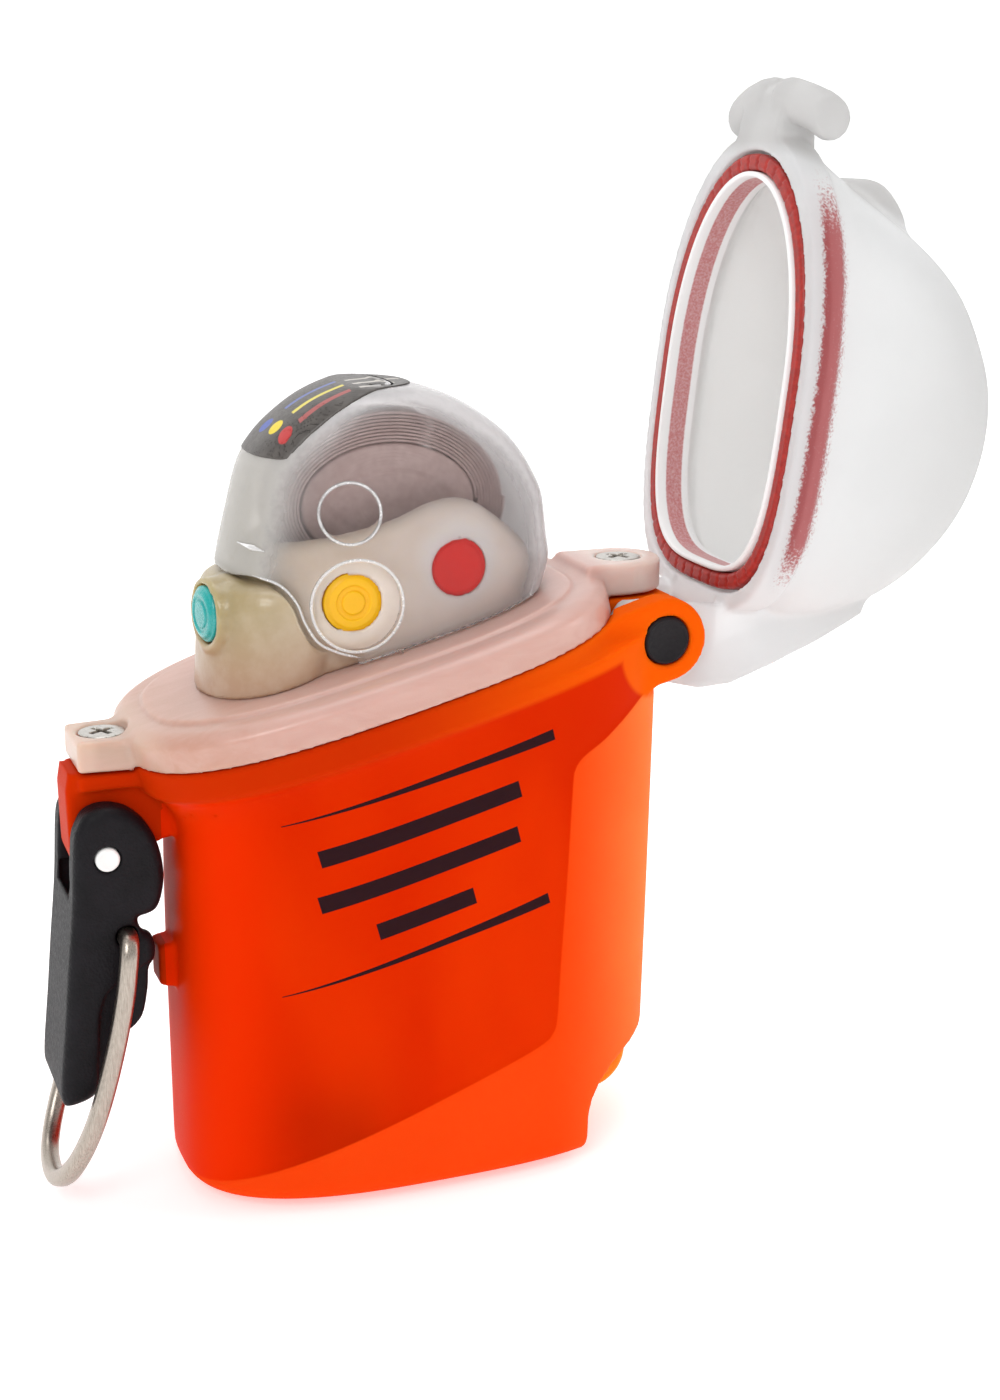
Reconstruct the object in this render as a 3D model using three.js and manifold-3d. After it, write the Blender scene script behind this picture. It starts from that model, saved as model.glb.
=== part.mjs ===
// Pocket rescue beacon with a hinged domed lid, a draw latch, a lift-off
// antenna cap and three sealed push buttons. Millimetres, +Z up.
// Origin: centre of the flat foot. +X runs from the latch to the hinge and
// -Y is the printed front. The lid is modelled open, resting on its stop.
import * as THREE from 'three';
import { mergeVertices } from 'three/addons/utils/BufferGeometryUtils.js';
import Module from 'manifold-3d';

const wasm = await Module();
wasm.setup();

// ---- driving dimensions -------------------------------------------------
const GAP = 0.3;                    // clearance between neighbouring pieces
const BODY_A = 27.6;                // half width of the housing
const BODY_B0 = 15.8;               // half depth at the foot
const BODY_B1 = 17.4;               // half depth under the rim
const BODY_N = 2.8;                 // squareness of the plan outline
const WALL = 1.9;                   // housing wall
const TILT = 13.74 * Math.PI / 180; // slant of the rim, rising to the hinge
const RIM = [-3.91, 55.72];         // middle of the joint line, x and z
const RIM_A = 27.81;                // half length of the rim along its slant
const RIM_B = 17.82;                // half depth of the rim
const RIM_H = 3.3;                  // height of the orange rim band
const COVER_T = 4.2;                // thickness of the top cover
const HINGE = [27.08, 59.15];       // lid hinge axis, x and z
const HINGE_R = 2.7;                // hinge pin
const EAR_R = 4.7;
const EAR_Y = [8.6, 12.2];
const OPEN = 110.96;                // lid opening angle, degrees
const LATCH = [-34.6, 39.84];       // lever axis, x and z
const LATCH_R = 1.3;
const BAIL = [-33.0, 31.0];         // bail axis, x and z
const SCREW_L = [-33.37, 52.06];    // screw axis x, head top z
const SCREW_R = [26.37, 66.5];
const CELL_R = 8.4, CELL_H = 33.4;  // camera-size lithium cell
const SEG = 28;                     // sides of the lofted pieces

// ---- helpers ------------------------------------------------------------
function solid(geo) {
  let g = geo.clone();
  g.deleteAttribute('normal');
  g.deleteAttribute('uv');
  g = mergeVertices(g, 1e-4);
  return new wasm.Manifold(new wasm.Mesh({
    numProp: 3,
    vertProperties: new Float32Array(g.attributes.position.array),
    triVerts: new Uint32Array(g.index.array),
  }));
}
function geometry(m) {
  const mesh = m.asOriginal().simplify(0.006).getMesh();
  const g = new THREE.BufferGeometry();
  g.setAttribute('position', new THREE.BufferAttribute(new Float32Array(mesh.vertProperties), 3));
  g.setIndex(new THREE.BufferAttribute(new Uint32Array(mesh.triVerts), 1));
  g.computeVertexNormals();
  return g;
}
const pw = (v, n) => Math.sign(v) * Math.pow(Math.abs(v), 2 / n);
// A stack of superellipse rings. Each ring: left and right points in the XZ
// plane, half depth, squareness of the left and right halves.
function loft(rings, seg = SEG) {
  const h = rings.length - 1;
  const g = new THREE.CylinderGeometry(1, 1, 1, seg, h, false);
  const p = g.attributes.position;
  for (let i = 0; i < p.count; i++) {
    const X = p.getX(i), Y = p.getY(i), Z = p.getZ(i);
    const r = rings[Math.round((Y + 0.5) * h)];
    const c = X, s = -Z;
    const rad = Math.hypot(c, s);
    const n = c < 0 ? (r.n1 ?? r.n ?? 2.8) : (r.n2 ?? r.n ?? 2.8);
    const u = rad < 0.5 ? 0 : pw(c, n), v = rad < 0.5 ? 0 : pw(s, n);
    const mx = (r.L[0] + r.R[0]) / 2, mz = (r.L[1] + r.R[1]) / 2;
    p.setXYZ(i, mx + u * (r.R[0] - r.L[0]) / 2, (r.yc ?? 0) + v * r.b, mz + u * (r.R[1] - r.L[1]) / 2);
  }
  return solid(g);
}
// Grow or shrink a stack of rings sideways.
const grow = (rings, d, db = d) => rings.map((r) => {
  const dx = r.R[0] - r.L[0], dz = r.R[1] - r.L[1], k = d / Math.hypot(dx, dz);
  return { ...r, L: [r.L[0] - dx * k, r.L[1] - dz * k], R: [r.R[0] + dx * k, r.R[1] + dz * k], b: r.b + db };
});
const lift = (rings, dx, dz) => rings.map((r) => ({ ...r, L: [r.L[0] + dx, r.L[1] + dz], R: [r.R[0] + dx, r.R[1] + dz] }));
const flat = (a, b, z, n = BODY_N, x = 0) => ({ L: [x - a, z], R: [x + a, z], b, n });
const side = (l, r, b, z) => ({ L: [l, z], R: [r, z], b, n: BODY_N });
const ct = Math.cos(TILT), st = Math.sin(TILT);
// A point of the slanted frame: u along the rim, w square to it.
const sl = (u, w) => [RIM[0] + u * ct - w * st, RIM[1] + u * st + w * ct];
const slant = (a, b, w, x = 0, n1 = 2.75, n2 = 2.8) => ({ L: sl(x - a, w), R: sl(x + a, w), b, n1, n2 });
// A plate in the XZ plane between two values of y.
function plate(points, y0, y1) {
  const s = points instanceof THREE.Shape ? points : new THREE.Shape(points.map((q) => new THREE.Vector2(q[0], q[1])));
  const g = new THREE.ExtrudeGeometry(s, { depth: y1 - y0, bevelEnabled: false, curveSegments: 8 });
  g.rotateX(Math.PI / 2);
  g.translate(0, y1, 0);
  return solid(g);
}
const smooth = (pts, n) => new THREE.Shape(new THREE.CatmullRomCurve3(
  pts.map((q) => new THREE.Vector3(q[0], q[1], 0)), true, 'centripetal').getPoints(n).slice(0, -1)
  .map((q) => new THREE.Vector2(q.x, q.y)));
function box(x0, x1, y0, y1, z0, z1) {
  const g = new THREE.BoxGeometry(x1 - x0, y1 - y0, z1 - z0);
  g.translate((x0 + x1) / 2, (y0 + y1) / 2, (z0 + z1) / 2);
  return solid(g);
}
function rodY(x, z, r, y0, y1, n = 28) {
  const g = new THREE.CylinderGeometry(r, r, y1 - y0, n);
  g.translate(x, (y0 + y1) / 2, z);
  return solid(g);
}
function rodZ(x, y, r, z0, z1, n = 24, r2 = r) {
  const g = new THREE.CylinderGeometry(r2, r, z1 - z0, n);
  g.rotateX(Math.PI / 2);
  g.translate(x, y, (z0 + z1) / 2);
  return solid(g);
}
function lathe(profile, n = 24) {           // profile in (r, z), turned about Z
  const g = new THREE.LatheGeometry(profile.map((q) => new THREE.Vector2(q[0], q[1])), n);
  g.rotateX(Math.PI / 2);
  let m = solid(g);
  if (m.volume() < 0) {
    const idx = g.index.array;
    for (let i = 0; i < idx.length; i += 3) { const t = idx[i]; idx[i] = idx[i + 1]; idx[i + 1] = t; }
    m = solid(g);
  }
  return m;
}
function sweep(shape, curve, steps) {
  const g = new THREE.ExtrudeGeometry(shape, { extrudePath: curve, steps, bevelEnabled: false, curveSegments: 6 });
  let m = solid(g);
  if (m.volume() < 0) throw new Error('inside out sweep');
  return m;
}
const V = (x, y, z) => new THREE.Vector3(x, y, z);
const disc = (r, n = 8) => new THREE.Shape(Array.from({ length: n }, (_, i) => new THREE.Vector2(
  r * Math.cos(2 * Math.PI * i / n), r * Math.sin(2 * Math.PI * i / n))));

const group = new THREE.Group();
group.name = 'rescue_beacon';
function put(name, m, color, roughness = 0.5, metalness = 0, parent = group) {
  const mesh = new THREE.Mesh(geometry(m), new THREE.MeshStandardMaterial({ color, roughness, metalness }));
  mesh.name = name;
  parent.add(mesh);
  return mesh;
}

// ---- lower housing ------------------------------------------------------
const bodyRings = (d, z0, top) => [
  side(-25.9 - d, 26.2 + d, BODY_B0 - 1.3 + d, z0), side(-26.8 - d, 27.1 + d, BODY_B0 - 0.45 + d, z0 + 0.7),
  side(-27.3 - d, BODY_A + d, BODY_B0 + d, z0 + 2.2), side(-27.1 - d, 28.1 + d, BODY_B0 + 1.1 + d, 28), side(-26.1 - d, 28.9 + d, BODY_B1 + 0.1 + d, top)];
const under = (w) => [[-60, -5], [60, -5], [60, sl(65, w)[1]], [-60, sl(-57.7, w)[1]]];
const slantCut = (w) => plate([[-60, -5], [60, -5], [60, RIM[1] + (60 - RIM[0]) * Math.tan(TILT) + w / ct],
  [-60, RIM[1] + (-60 - RIM[0]) * Math.tan(TILT) + w / ct]], -30, 30);
let housing = loft(bodyRings(0, 0, 66)).intersect(slantCut(-2.2)).intersect(box(-60, 60, -30, 30, -1, 57.4));
const band = loft([slant(25.3, 15.8, -8.6, 0.4), slant(26.2, 16.7, -4.6), slant(27.3, 17.35, -3.7), slant(RIM_A, RIM_B, -RIM_H), slant(RIM_A, RIM_B, -0.15)]);
housing = housing.add(band);
// hinge ears, carried out of the rim band
const ear = (y0, y1) => {
  const s = new THREE.Shape();
  const a0 = 108 * Math.PI / 180, a1 = -78 * Math.PI / 180;
  s.moveTo(9, 56.0);
  s.lineTo(15, 59.6);
  s.lineTo(HINGE[0] + EAR_R * Math.cos(a0), HINGE[1] + EAR_R * Math.sin(a0));
  s.absarc(HINGE[0], HINGE[1], EAR_R, a0, a1, true);
  s.lineTo(20, 51.6);
  s.lineTo(9, 50.0);
  return plate(s, y0, y1);
};
housing = housing.add(ear(EAR_Y[0], EAR_Y[1])).add(ear(-EAR_Y[1], -EAR_Y[0]));
// hinge-side screw post and latch-side screw post with the latch lug
housing = housing.add(plate([[18, 52], [27, 50], [30.9, 55.2], [30.9, 62.55], [18, 62.55]], -4.9, 4.9));
housing = housing.add(plate([[-36.7, 46.6], [-25, 46.6], [-25, 48.35], [-36.7, 48.35]], -4.1, 4.1));
housing = housing.add(plate([[-37.5, 49.6], [-38.0, 46.5], [-37.9, 39.6], [-37.2, 37.6], [-35.2, 36.5], [-32.5, 36.6],
  [-26, 33.5], [-26, 48.35], [-37.35, 48.35]], -3.1, 3.1));
// tab that guards the lever's tip on the latch side
housing = housing.add(plate([[-28.9, 23.0], [-26, 22.2], [-26, 28.6], [-28.9, 28.2]], -3.6, 3.6));
// cavity, mouth and the clearances
housing = housing.subtract(loft([slant(RIM_A + 0.3, RIM_B + 0.3, -0.15), slant(RIM_A + 0.3, RIM_B + 0.3, 9)]));
housing = housing.subtract(loft(bodyRings(-WALL, WALL, 66)).intersect(slantCut(-4.4)));
housing = housing.subtract(loft([slant(24.0, 14.4, -9.5, 0.6), slant(25.9, 15.9, -4.2), slant(25.9, 15.9, 3)]).intersect(box(-60, 60, -30, 30, 40, 90)));
// notch for the lanyard eye at the hinge-side lower corner
const notch = [[17.9, -1], [18.2, 4.6], [18.9, 6.2], [20.7, 8.4], [22.7, 10.4], [24.6, 12.0], [26.6, 13.2], [30, 13.9]];
housing = housing.subtract(plate([...notch, [30, -1]], -30, 30));
housing = housing.add(loft(bodyRings(-0.5, 0.5, 66)).intersect(plate([[16.3, 0.9], [17.9, 0.9], ...notch.slice(1), [28.6, 16.0], [25.9, 15.1], [23.6, 13.7], [21.4, 11.9], [19.3, 9.7], [17.3, 7.3], [16.5, 5.2]], -30, 30)));
for (const s of [-1, 1]) {
  const y0 = s < 0 ? -8.5 : 5.0, y1 = s < 0 ? -5.0 : 8.5;
  housing = housing.subtract(rodY(HINGE[0], HINGE[1], 6.3, y0, y1, 40));
}
housing = housing.subtract(rodY(HINGE[0], HINGE[1], HINGE_R + 0.12, -13, 13, 28).subtract(box(0, 60, -5.3, 5.3, 0, 90)));
housing = housing.subtract(rodY(LATCH[0], LATCH[1], LATCH_R + 0.15, -13, 13, 20));
housing = housing.subtract(rodZ(SCREW_L[0], 0, 2.15, 42.6, 49, 20)).subtract(rodZ(SCREW_R[0], 0, 2.15, 55.5, 63, 20));
put('lower_housing', housing, 0xf24a12, 0.35);

// lanyard eye in the notch
const eyeC = [22.3, 6.5];
let eye = rodY(eyeC[0], eyeC[1], 4.8, -2.6, 2.6, 32).subtract(rodY(eyeC[0] + 0.1, eyeC[1] - 0.2, 2.5, -4, 4, 20));
eye = eye.intersect(plate([...notch.map((q) => [q[0] + 0.25, q[1] - 0.2]), [30.2, -1]], -9, 9));
{
  const parts = eye.decompose();
  parts.sort((a, b) => b.volume() - a.volume());
  eye = parts[0];
}
put('lanyard_eye', eye, 0xff7a10, 0.2);

// ---- top cover ----------------------------------------------------------
let cover = loft([slant(RIM_A, RIM_B, 0.15), slant(RIM_A, RIM_B, 2.7), slant(RIM_A - 0.5, RIM_B - 0.5, 3.5), slant(RIM_A - 1.7, RIM_B - 1.6, COVER_T)]);
const bossL = (() => {
  const s = new THREE.Shape();
  s.moveTo(-36.7, -4.1); s.lineTo(-24, -5.4); s.lineTo(-24, 5.4); s.lineTo(-36.7, 4.1);
  return s;
})();
const slab = (s, z0, z1) => {
  const g = new THREE.ExtrudeGeometry(s, { depth: z1 - z0, bevelEnabled: false, curveSegments: 8 });
  g.translate(0, 0, z0);
  return solid(g);
};
cover = cover.add(slab(bossL, 48.65, 52.06));
const bossR = (() => {
  const s = new THREE.Shape();
  s.moveTo(20.6, -4.9); s.lineTo(26.6, -4.9); s.absarc(26.4, 0, 4.75, -Math.PI / 2, Math.PI / 2, false);
  s.lineTo(20.6, 4.9);
  return s;
})();
cover = cover.add(slab(bossR, 62.85, 66.5));
cover = cover.subtract(loft([slant(RIM_A + 0.3, RIM_B + 0.3, -9), slant(RIM_A + 0.3, RIM_B + 0.3, 0.15)]));
// spigot that goes down inside the housing, and the well under the keypad
cover = cover.add(loft([slant(24.4, 14.4, -3.9), slant(24.4, 14.4, 1)]));
cover = cover.subtract(loft([slant(22.6, 12.6, -5), slant(22.6, 12.6, 1.7)]));
cover = cover.subtract(loft([slant(17.4, 7.2, -5, -0.4), slant(17.4, 7.2, 6, -0.4)]));
const csk = (x, z) => rodZ(x, 0, 1.6, z - 9, z + 1, 20).add(rodZ(x, 0, 1.7, z - 2.15, z + 0.02, 24, 2.78)).add(rodZ(x, 0, 2.78, z, z + 9, 24));
cover = cover.subtract(csk(...SCREW_L)).subtract(csk(...SCREW_R));
put('top_cover', cover, 0xe6cdc6, 0.45);
put('cover_seal', loft([slant(25.6, 15.6, -2.6), slant(25.6, 15.6, -1.3)]).subtract(loft([slant(24.7, 14.7, -4), slant(24.7, 14.7, 1)])), 0x202020, 0.7);

// ---- cover screws and their inserts ------------------------------------
const screw = (x, z, len) => {
  let s = lathe([[0, z], [2.5, z], [2.5, z - 0.25], [1.25, z - 1.55], [1.25, z - len], [0.8, z - len - 0.5], [0, z - len - 0.5]], 24);
  s = s.translate([x, 0, 0]);
  const bar = (w, l) => box(x - l, x + l, -w, w, z - 1.15, z + 1);
  return s.subtract(bar(0.32, 1.35)).subtract(bar(1.35, 0.32));
};
put('cover_screw_latch_side', screw(...SCREW_L, 7.6), 0xc9c4bc, 0.3, 1);
put('cover_screw_hinge_side', screw(...SCREW_R, 8.4), 0xc9c4bc, 0.3, 1);
const insert = (x, z0, z1) => lathe([[1.4, z0], [2.0, z0], [2.0, z1], [1.4, z1], [1.4, z0]], 20).translate([x, 0, 0]);
put('screw_insert_latch_side', insert(SCREW_L[0], 43.0, 48.2), 0xc8a24a, 0.35, 1);
put('screw_insert_hinge_side', insert(SCREW_R[0], 56.2, 62.4), 0xc8a24a, 0.35, 1);

// ---- hinge pins and latch pin ------------------------------------------
put('hinge_pin_front', rodY(HINGE[0], HINGE[1], HINGE_R, -12.15, -5.45), 0x1c191b, 0.5);
put('hinge_pin_rear', rodY(HINGE[0], HINGE[1], HINGE_R, 5.45, 12.15), 0x1c191b, 0.5);
put('latch_pivot_pin', rodY(LATCH[0], LATCH[1], LATCH_R, -6.9, 6.9, 20), 0xf0f0ee, 0.4);

// ---- latch lever --------------------------------------------------------
const leverOutline = [[-38.6, 41.5], [-37.9, 43.4], [-36.4, 44.9], [-34.2, 45.4], [-31.8, 44.6], [-29.9, 42.6], [-28.9, 40.0], [-28.6, 37.2],
  [-28.95, 34.9], [-29.6, 33.5], [-30.6, 33.0], [-31.5, 32.9], [-31.6, 32.3], [-31.2, 31.2], [-30.3, 30.6], [-29.9, 29.3], [-30.1, 27.8], [-30.7, 26.8], [-30.9, 24.6],
  [-31.5, 21.8], [-32.4, 20.5], [-33.6, 19.9], [-35.0, 17.6], [-36.4, 14.6], [-37.8, 13.3], [-40.0, 13.0], [-40.9, 14.0],
  [-40.8, 16.4], [-40.3, 21.0], [-39.7, 27.5], [-39.1, 34.5]];
let lever = plate(leverOutline, -6.8, 6.8);
lever = lever.subtract(plate([[-50, 35.0], [-25, 35.0], [-25, 50], [-50, 50]], -3.4, 3.4));
lever = lever.subtract(plate([[-38.0, 37], [-25, 37], [-25, 10], [-36.0, 10], [-37.4, 16.0], [-38.3, 22]], -4.6, 4.6));
lever = lever.subtract(rodY(LATCH[0], LATCH[1], LATCH_R + 0.14, -8, 8, 20));
lever = lever.subtract(rodY(BAIL[0], BAIL[1], 1.2, -8, -5.2, 20)).subtract(rodY(BAIL[0], BAIL[1], 1.2, 5.2, 8, 20));
put('latch_lever', lever, 0x272226, 0.55);

// ---- wire bail ----------------------------------------------------------
const bailR = 0.98;
const bailPath = new THREE.CurvePath();
const bl = (t, y) => { // a point of the leg: t from 0 at the pivot to 1 at the foot
  const x = BAIL[0] - 3.4 * t - 5.2 * t * t, z = BAIL[1] - 29.2 * t;
  return V(x, y, z);
};
const pts = [V(BAIL[0], -5.6, BAIL[1]), V(BAIL[0], -6.6, BAIL[1]), V(BAIL[0], -7.7, BAIL[1] - 0.1), V(BAIL[0] - 0.15, -8.4, BAIL[1] - 0.9), V(BAIL[0] - 0.35, -8.7, BAIL[1] - 2.3)];
for (const t of [0.2, 0.34, 0.48, 0.6]) pts.push(bl(t, -8.8));
pts.push(bl(0.71, -8.55), bl(0.82, -7.6), bl(0.91, -5.9), bl(0.97, -3.4), bl(0.99, 0));
const all = pts.concat(pts.slice(0, -1).reverse().map((q) => V(q.x, -q.y, q.z)));
const bail = sweep(disc(bailR, 6), new THREE.CatmullRomCurve3(all, false, 'centripetal'), 40);
put('latch_bail', bail, 0xbdb3a6, 0.3, 1);

// ---- lid (drawn shut, then swung open about the hinge) ------------------
const lidRings = [
  { L: sl(1.96 - 26.5, 4.6), R: sl(1.96 + 26.5, 4.6), b: 18.4, n1: 2.15, n2: 3.4 },
  { L: sl(1.96 - 26.8, 8.0), R: sl(1.96 + 26.5, 8.0), b: 18.4, n1: 2.15, n2: 3.4 },
  { L: sl(1.96 - 26.0, 8.8), R: sl(1.96 + 25.9, 8.8), b: 17.7, n1: 2.15, n2: 3.3 },
  { L: [-27.7, 63.5], R: [21.6, 73.5], b: 17.2, n1: 2.2, n2: 3.0 },
  { L: [-26.1, 70.0], R: [21.0, 77.3], b: 16.6, n1: 2.2, n2: 2.8 },
  { L: [-24.5, 76.3], R: [19.4, 81.3], b: 15.5, n1: 2.2, n2: 2.6 },
  { L: [-22.2, 81.9], R: [17.2, 84.9], b: 14.0, n1: 2.2, n2: 2.5 },
  { L: [-18.6, 86.6], R: [14.4, 88.1], b: 12.0, n1: 2.2, n2: 2.4 },
  { L: [-14.7, 90.1], R: [11.0, 90.8], b: 9.8, n: 2.3 },
  { L: [-10.0, 92.8], R: [7.2, 93.0], b: 7.0, n: 2.2 },
  { L: [-5.4, 94.4], R: [3.2, 94.5], b: 3.6, n: 2.1 },
];
let lid = loft(lidRings);
// hinge plate with its two knuckles
const hingePlate = new THREE.Shape();
hingePlate.moveTo(HINGE[0] + 4.6, HINGE[1]);
[[31.9, 63.5], [31.5, 67.2], [29.9, 70.9], [26.2, 75.4], [22.3, 79.7], [17.6, 84.2], [14, 84], [17, 76], [20.0, 69.0], [21.6, 66.9], [22.6, 61.0]].forEach((q) => hingePlate.lineTo(q[0], q[1]));
hingePlate.absarc(HINGE[0], HINGE[1], 4.6, Math.PI * 0.9, Math.PI * 2, false);
lid = lid.add(plate(hingePlate, -8.3, 8.3));
// neck and bowed T-bar that the bail hooks over
lid = lid.add(plate([[-24, 59.7], [-29.3, 59.4], [-33.2, 57.6], [-33.2, 53.8], [-29.2, 54.2], [-24, 56.6]], -5.4, 5.4));
const tbar = sweep(disc(2.35, 12), new THREE.CatmullRomCurve3([V(-31.3, -10.6, 57.5), V(-32.6, -5.6, 56.2), V(-33.2, 0, 55.7), V(-32.6, 5.6, 56.2), V(-31.3, 10.6, 57.5)], false, 'centripetal'), 10);
lid = lid.add(tbar);
// thumb fin on the latch end
lid = lid.add(plate([[-22, 74.6], [-25.4, 74.6], [-27.4, 72.6], [-28.7, 70.0], [-28.5, 67.6], [-27.0, 65.4], [-22, 64.5]], -3.4, 3.4));
// inside of the dome, the gasket groove and the screw post's clearance
const inRings = [
  { L: sl(1.96 - 21.65, 4.0), R: sl(1.96 + 21.65, 4.0), b: 14.05, n1: 2.07, n2: 3.48 },
  { L: sl(1.96 - 21.65, 8.6), R: sl(1.96 + 21.65, 8.6), b: 14.05, n1: 2.07, n2: 3.48 },
  { L: sl(1.96 - 23.6, 10.4), R: sl(1.96 + 23.6, 10.4), b: 15.6, n1: 2.1, n2: 3.2 },
].concat(grow(lidRings.slice(3, 9), -2.0)).concat([
  { L: [-9.0, 90.6], R: [6.2, 90.8], b: 5.4, n: 2.2 }, { L: [-4.8, 92.2], R: [2.6, 92.3], b: 2.4, n: 2.1 }]);
lid = lid.subtract(loft(inRings));
lid = lid.subtract(loft([slant(24.55, 16.95, 4.0, 1.96, 2.07, 3.48), slant(24.55, 16.95, 7.9, 1.96, 2.07, 3.48)])
  .subtract(loft([slant(21.95, 14.35, 3.0, 1.96, 2.07, 3.48), slant(21.95, 14.35, 9, 1.96, 2.07, 3.48)])));
lid = lid.subtract(rodY(HINGE[0], HINGE[1], 8.8, -5.55, 5.55, 44));
lid = lid.subtract(loft([slant(RIM_A + 0.35, RIM_B + 0.35, -9), slant(RIM_A + 0.35, RIM_B + 0.35, 4.45)])).subtract(box(20.1, 31.6, -5.3, 5.3, 60, 66.9));
lid = lid.subtract(rodY(HINGE[0], HINGE[1], HINGE_R + 0.16, -20, 20, 28));
const lidGroup = new THREE.Group();
lidGroup.position.set(HINGE[0], 0, HINGE[1]);
lidGroup.rotation.y = OPEN * Math.PI / 180;
group.add(lidGroup);
put('lid_shell', lid.translate([-HINGE[0], 0, -HINGE[1]]), 0xeef2f4, 0.3, 0, lidGroup);
const gasket = loft([slant(24.25, 16.65, 4.5, 1.96, 2.07, 3.48), slant(24.25, 16.65, 7.6, 1.96, 2.07, 3.48)])
  .subtract(loft([slant(22.25, 14.65, 3.5, 1.96, 2.07, 3.48), slant(22.25, 14.65, 9, 1.96, 2.07, 3.48)]));
put('lid_gasket', gasket.translate([-HINGE[0], 0, -HINGE[1]]), 0xc23028, 0.5, 0, lidGroup);

// ---- antenna cap --------------------------------------------------------
const capRings = [
  { L: sl(-18.2, 5.0), R: sl(21.1, 5.0), b: 11.0, n: 2.9 },
  { L: [-21.0, 62.6], R: [16.5, 68.6], b: 11.0, n: 2.8 },
  { L: [-20.1, 68.2], R: [16.2, 70.9], b: 10.95, n: 2.8 },
  { L: [-18.5, 75.1], R: [15.1, 74.8], b: 10.7, n: 2.7 },
  { L: [-17.2, 79.8], R: [13.2, 78.3], b: 10.4, n: 2.7 },
  { L: [-15.6, 82.5], R: [10.8, 81.5], b: 10.0, n: 2.7 },
  { L: [-13.1, 84.8], R: [7.8, 84.1], b: 9.4, n: 2.7 },
  { L: [-10.1, 86.5], R: [4.6, 86.1], b: 8.5, n: 2.7 },
  { L: [-6.4, 87.6], R: [0.8, 87.5], b: 7.2, n: 2.6 },
];
const edge = [[-30, 68.3], [-20.4, 68.3], [-18.2, 68.8], [-15.9, 68.0], [-14.4, 66.2], [-13.6, 64.0], [-12.3, 61.9], [-10.2, 60.7], [-7.9, 60.0], [-8.4, 50], [-30, 50]];
let cap = loft(capRings).subtract(loft([{ ...grow([capRings[0]], -1.3)[0], L: sl(-16.9, 4.0), R: sl(19.8, 4.0) }].concat(grow(capRings.slice(1, 7), -1.3)).concat([
  { L: [-9.4, 85.1], R: [4.1, 84.7], b: 7.4, n: 2.7 }, { L: [-6.0, 86.2], R: [0.6, 86.1], b: 6.0, n: 2.6 }])));
cap = cap.subtract(plate(edge, -20, 20));
cap = cap.subtract(rodY(-7.9, 65.7, 4.4, -20, -6, 28));
const capGroup = new THREE.Group();
group.add(capGroup);
put('antenna_cap', cap, 0xd9d6d4, 0.25, 0, capGroup);
const topped = (d, h) => loft(grow(capRings, d).map((r, i, a) => (i < a.length - 1 ? r : { ...r, L: [r.L[0], r.L[1] + h], R: [r.R[0], r.R[1] + h] })));
const label = topped(0.42, 0.36).subtract(topped(0.12, 0.1)).intersect(
  plate([[-17.3, 81.2], [-12, 80], [-4, 80], [3.2, 83], [3.2, 95], [-20, 95], [-20, 81.2]], -7.4, 7.4)).subtract(box(-20, 20, -20, 20, 60, 81.6));
{
  const parts = label.decompose();
  parts.sort((a, b) => b.volume() - a.volume());
  put('cap_label', parts[0], 0x55504d, 0.4, 0, capGroup);
}

// ---- keypad boot --------------------------------------------------------
const bootRings = [
  { L: sl(-16.4, COVER_T + GAP), R: sl(19.3, COVER_T + GAP), b: 9.4, n: 2.9 },
  { L: [-19.3, 62.6], R: [14.8, 68.6], b: 9.4, n: 2.8 },
  { L: [-18.4, 68.2], R: [14.5, 70.9], b: 9.35, n: 2.8 },
  { L: [-16.8, 75.1], R: [13.4, 74.8], b: 9.1, n: 2.7 },
  { L: [-16.1, 77.6], R: [12.5, 76.6], b: 8.9, n: 2.7 },
];
const bootTop = [[-40, 50], [40, 50], [40, 68], [14.8, 68.4], [12.1, 70.8], [9.2, 73.2], [6.2, 75.3], [3.6, 76.0], [0.6, 75.6], [-3.0, 74.2], [-8, 73.0], [-13, 72.2], [-17, 71.6], [-40, 71.0]];
let boot = loft(bootRings).intersect(plate(bootTop, -20, 20));
const bulge = loft([
  { L: sl(-18.5, COVER_T + GAP), R: sl(-3, COVER_T + GAP), b: 10.3, n: 2.05 },
  { L: [-22.5, 60.5], R: [-6.5, 62.5], b: 10.2, n: 2.1 },
  { L: [-22.2, 65.0], R: [-8.0, 66.0], b: 10.0, n: 2.2 },
  { L: [-21.4, 67.0], R: [-9.0, 67.6], b: 9.3, n: 2.3 },
  { L: [-20.1, 67.95], R: [-11.0, 68.0], b: 8.2, n: 2.4 },
]);
const edgeIn = edge.map((q, i) => (i === 0 || i > 8 ? q : [q[0] - 0.25, q[1] - 0.32]));
boot = boot.add(bulge.intersect(plate([[-40, 67.98], [-20.6, 67.98], ...edgeIn.slice(2, 9), [-8.4, 50], [-40, 50]], -20, 20)));
boot = boot.subtract(loft([
  { L: sl(-17.6, 2), R: sl(17.8, 2), b: 7.9, n: 2.9 }, { L: [-20.6, 60.0], R: [13.3, 68.4], b: 7.9, n: 2.8 },
  { L: [-20.1, 64.4], R: [13.1, 70.2], b: 7.9, n: 2.8 }, { L: [-17.0, 68.0], R: [12.7, 71.7], b: 7.85, n: 2.8 }, { L: [-15.4, 77.2], R: [11.4, 77.2], b: 7.5, n: 2.7 }]));
const YEL = [-7.9, 65.7], RED = [3.7, 68.6], TEAL = [-22.0, -3.1, 64.5], TROT = 12 * Math.PI / 180;
boot = boot.subtract(rodY(YEL[0], YEL[1], 3.5, -14, -7, 28)).subtract(rodY(RED[0], RED[1], 3.5, -14, -7, 28));
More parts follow.
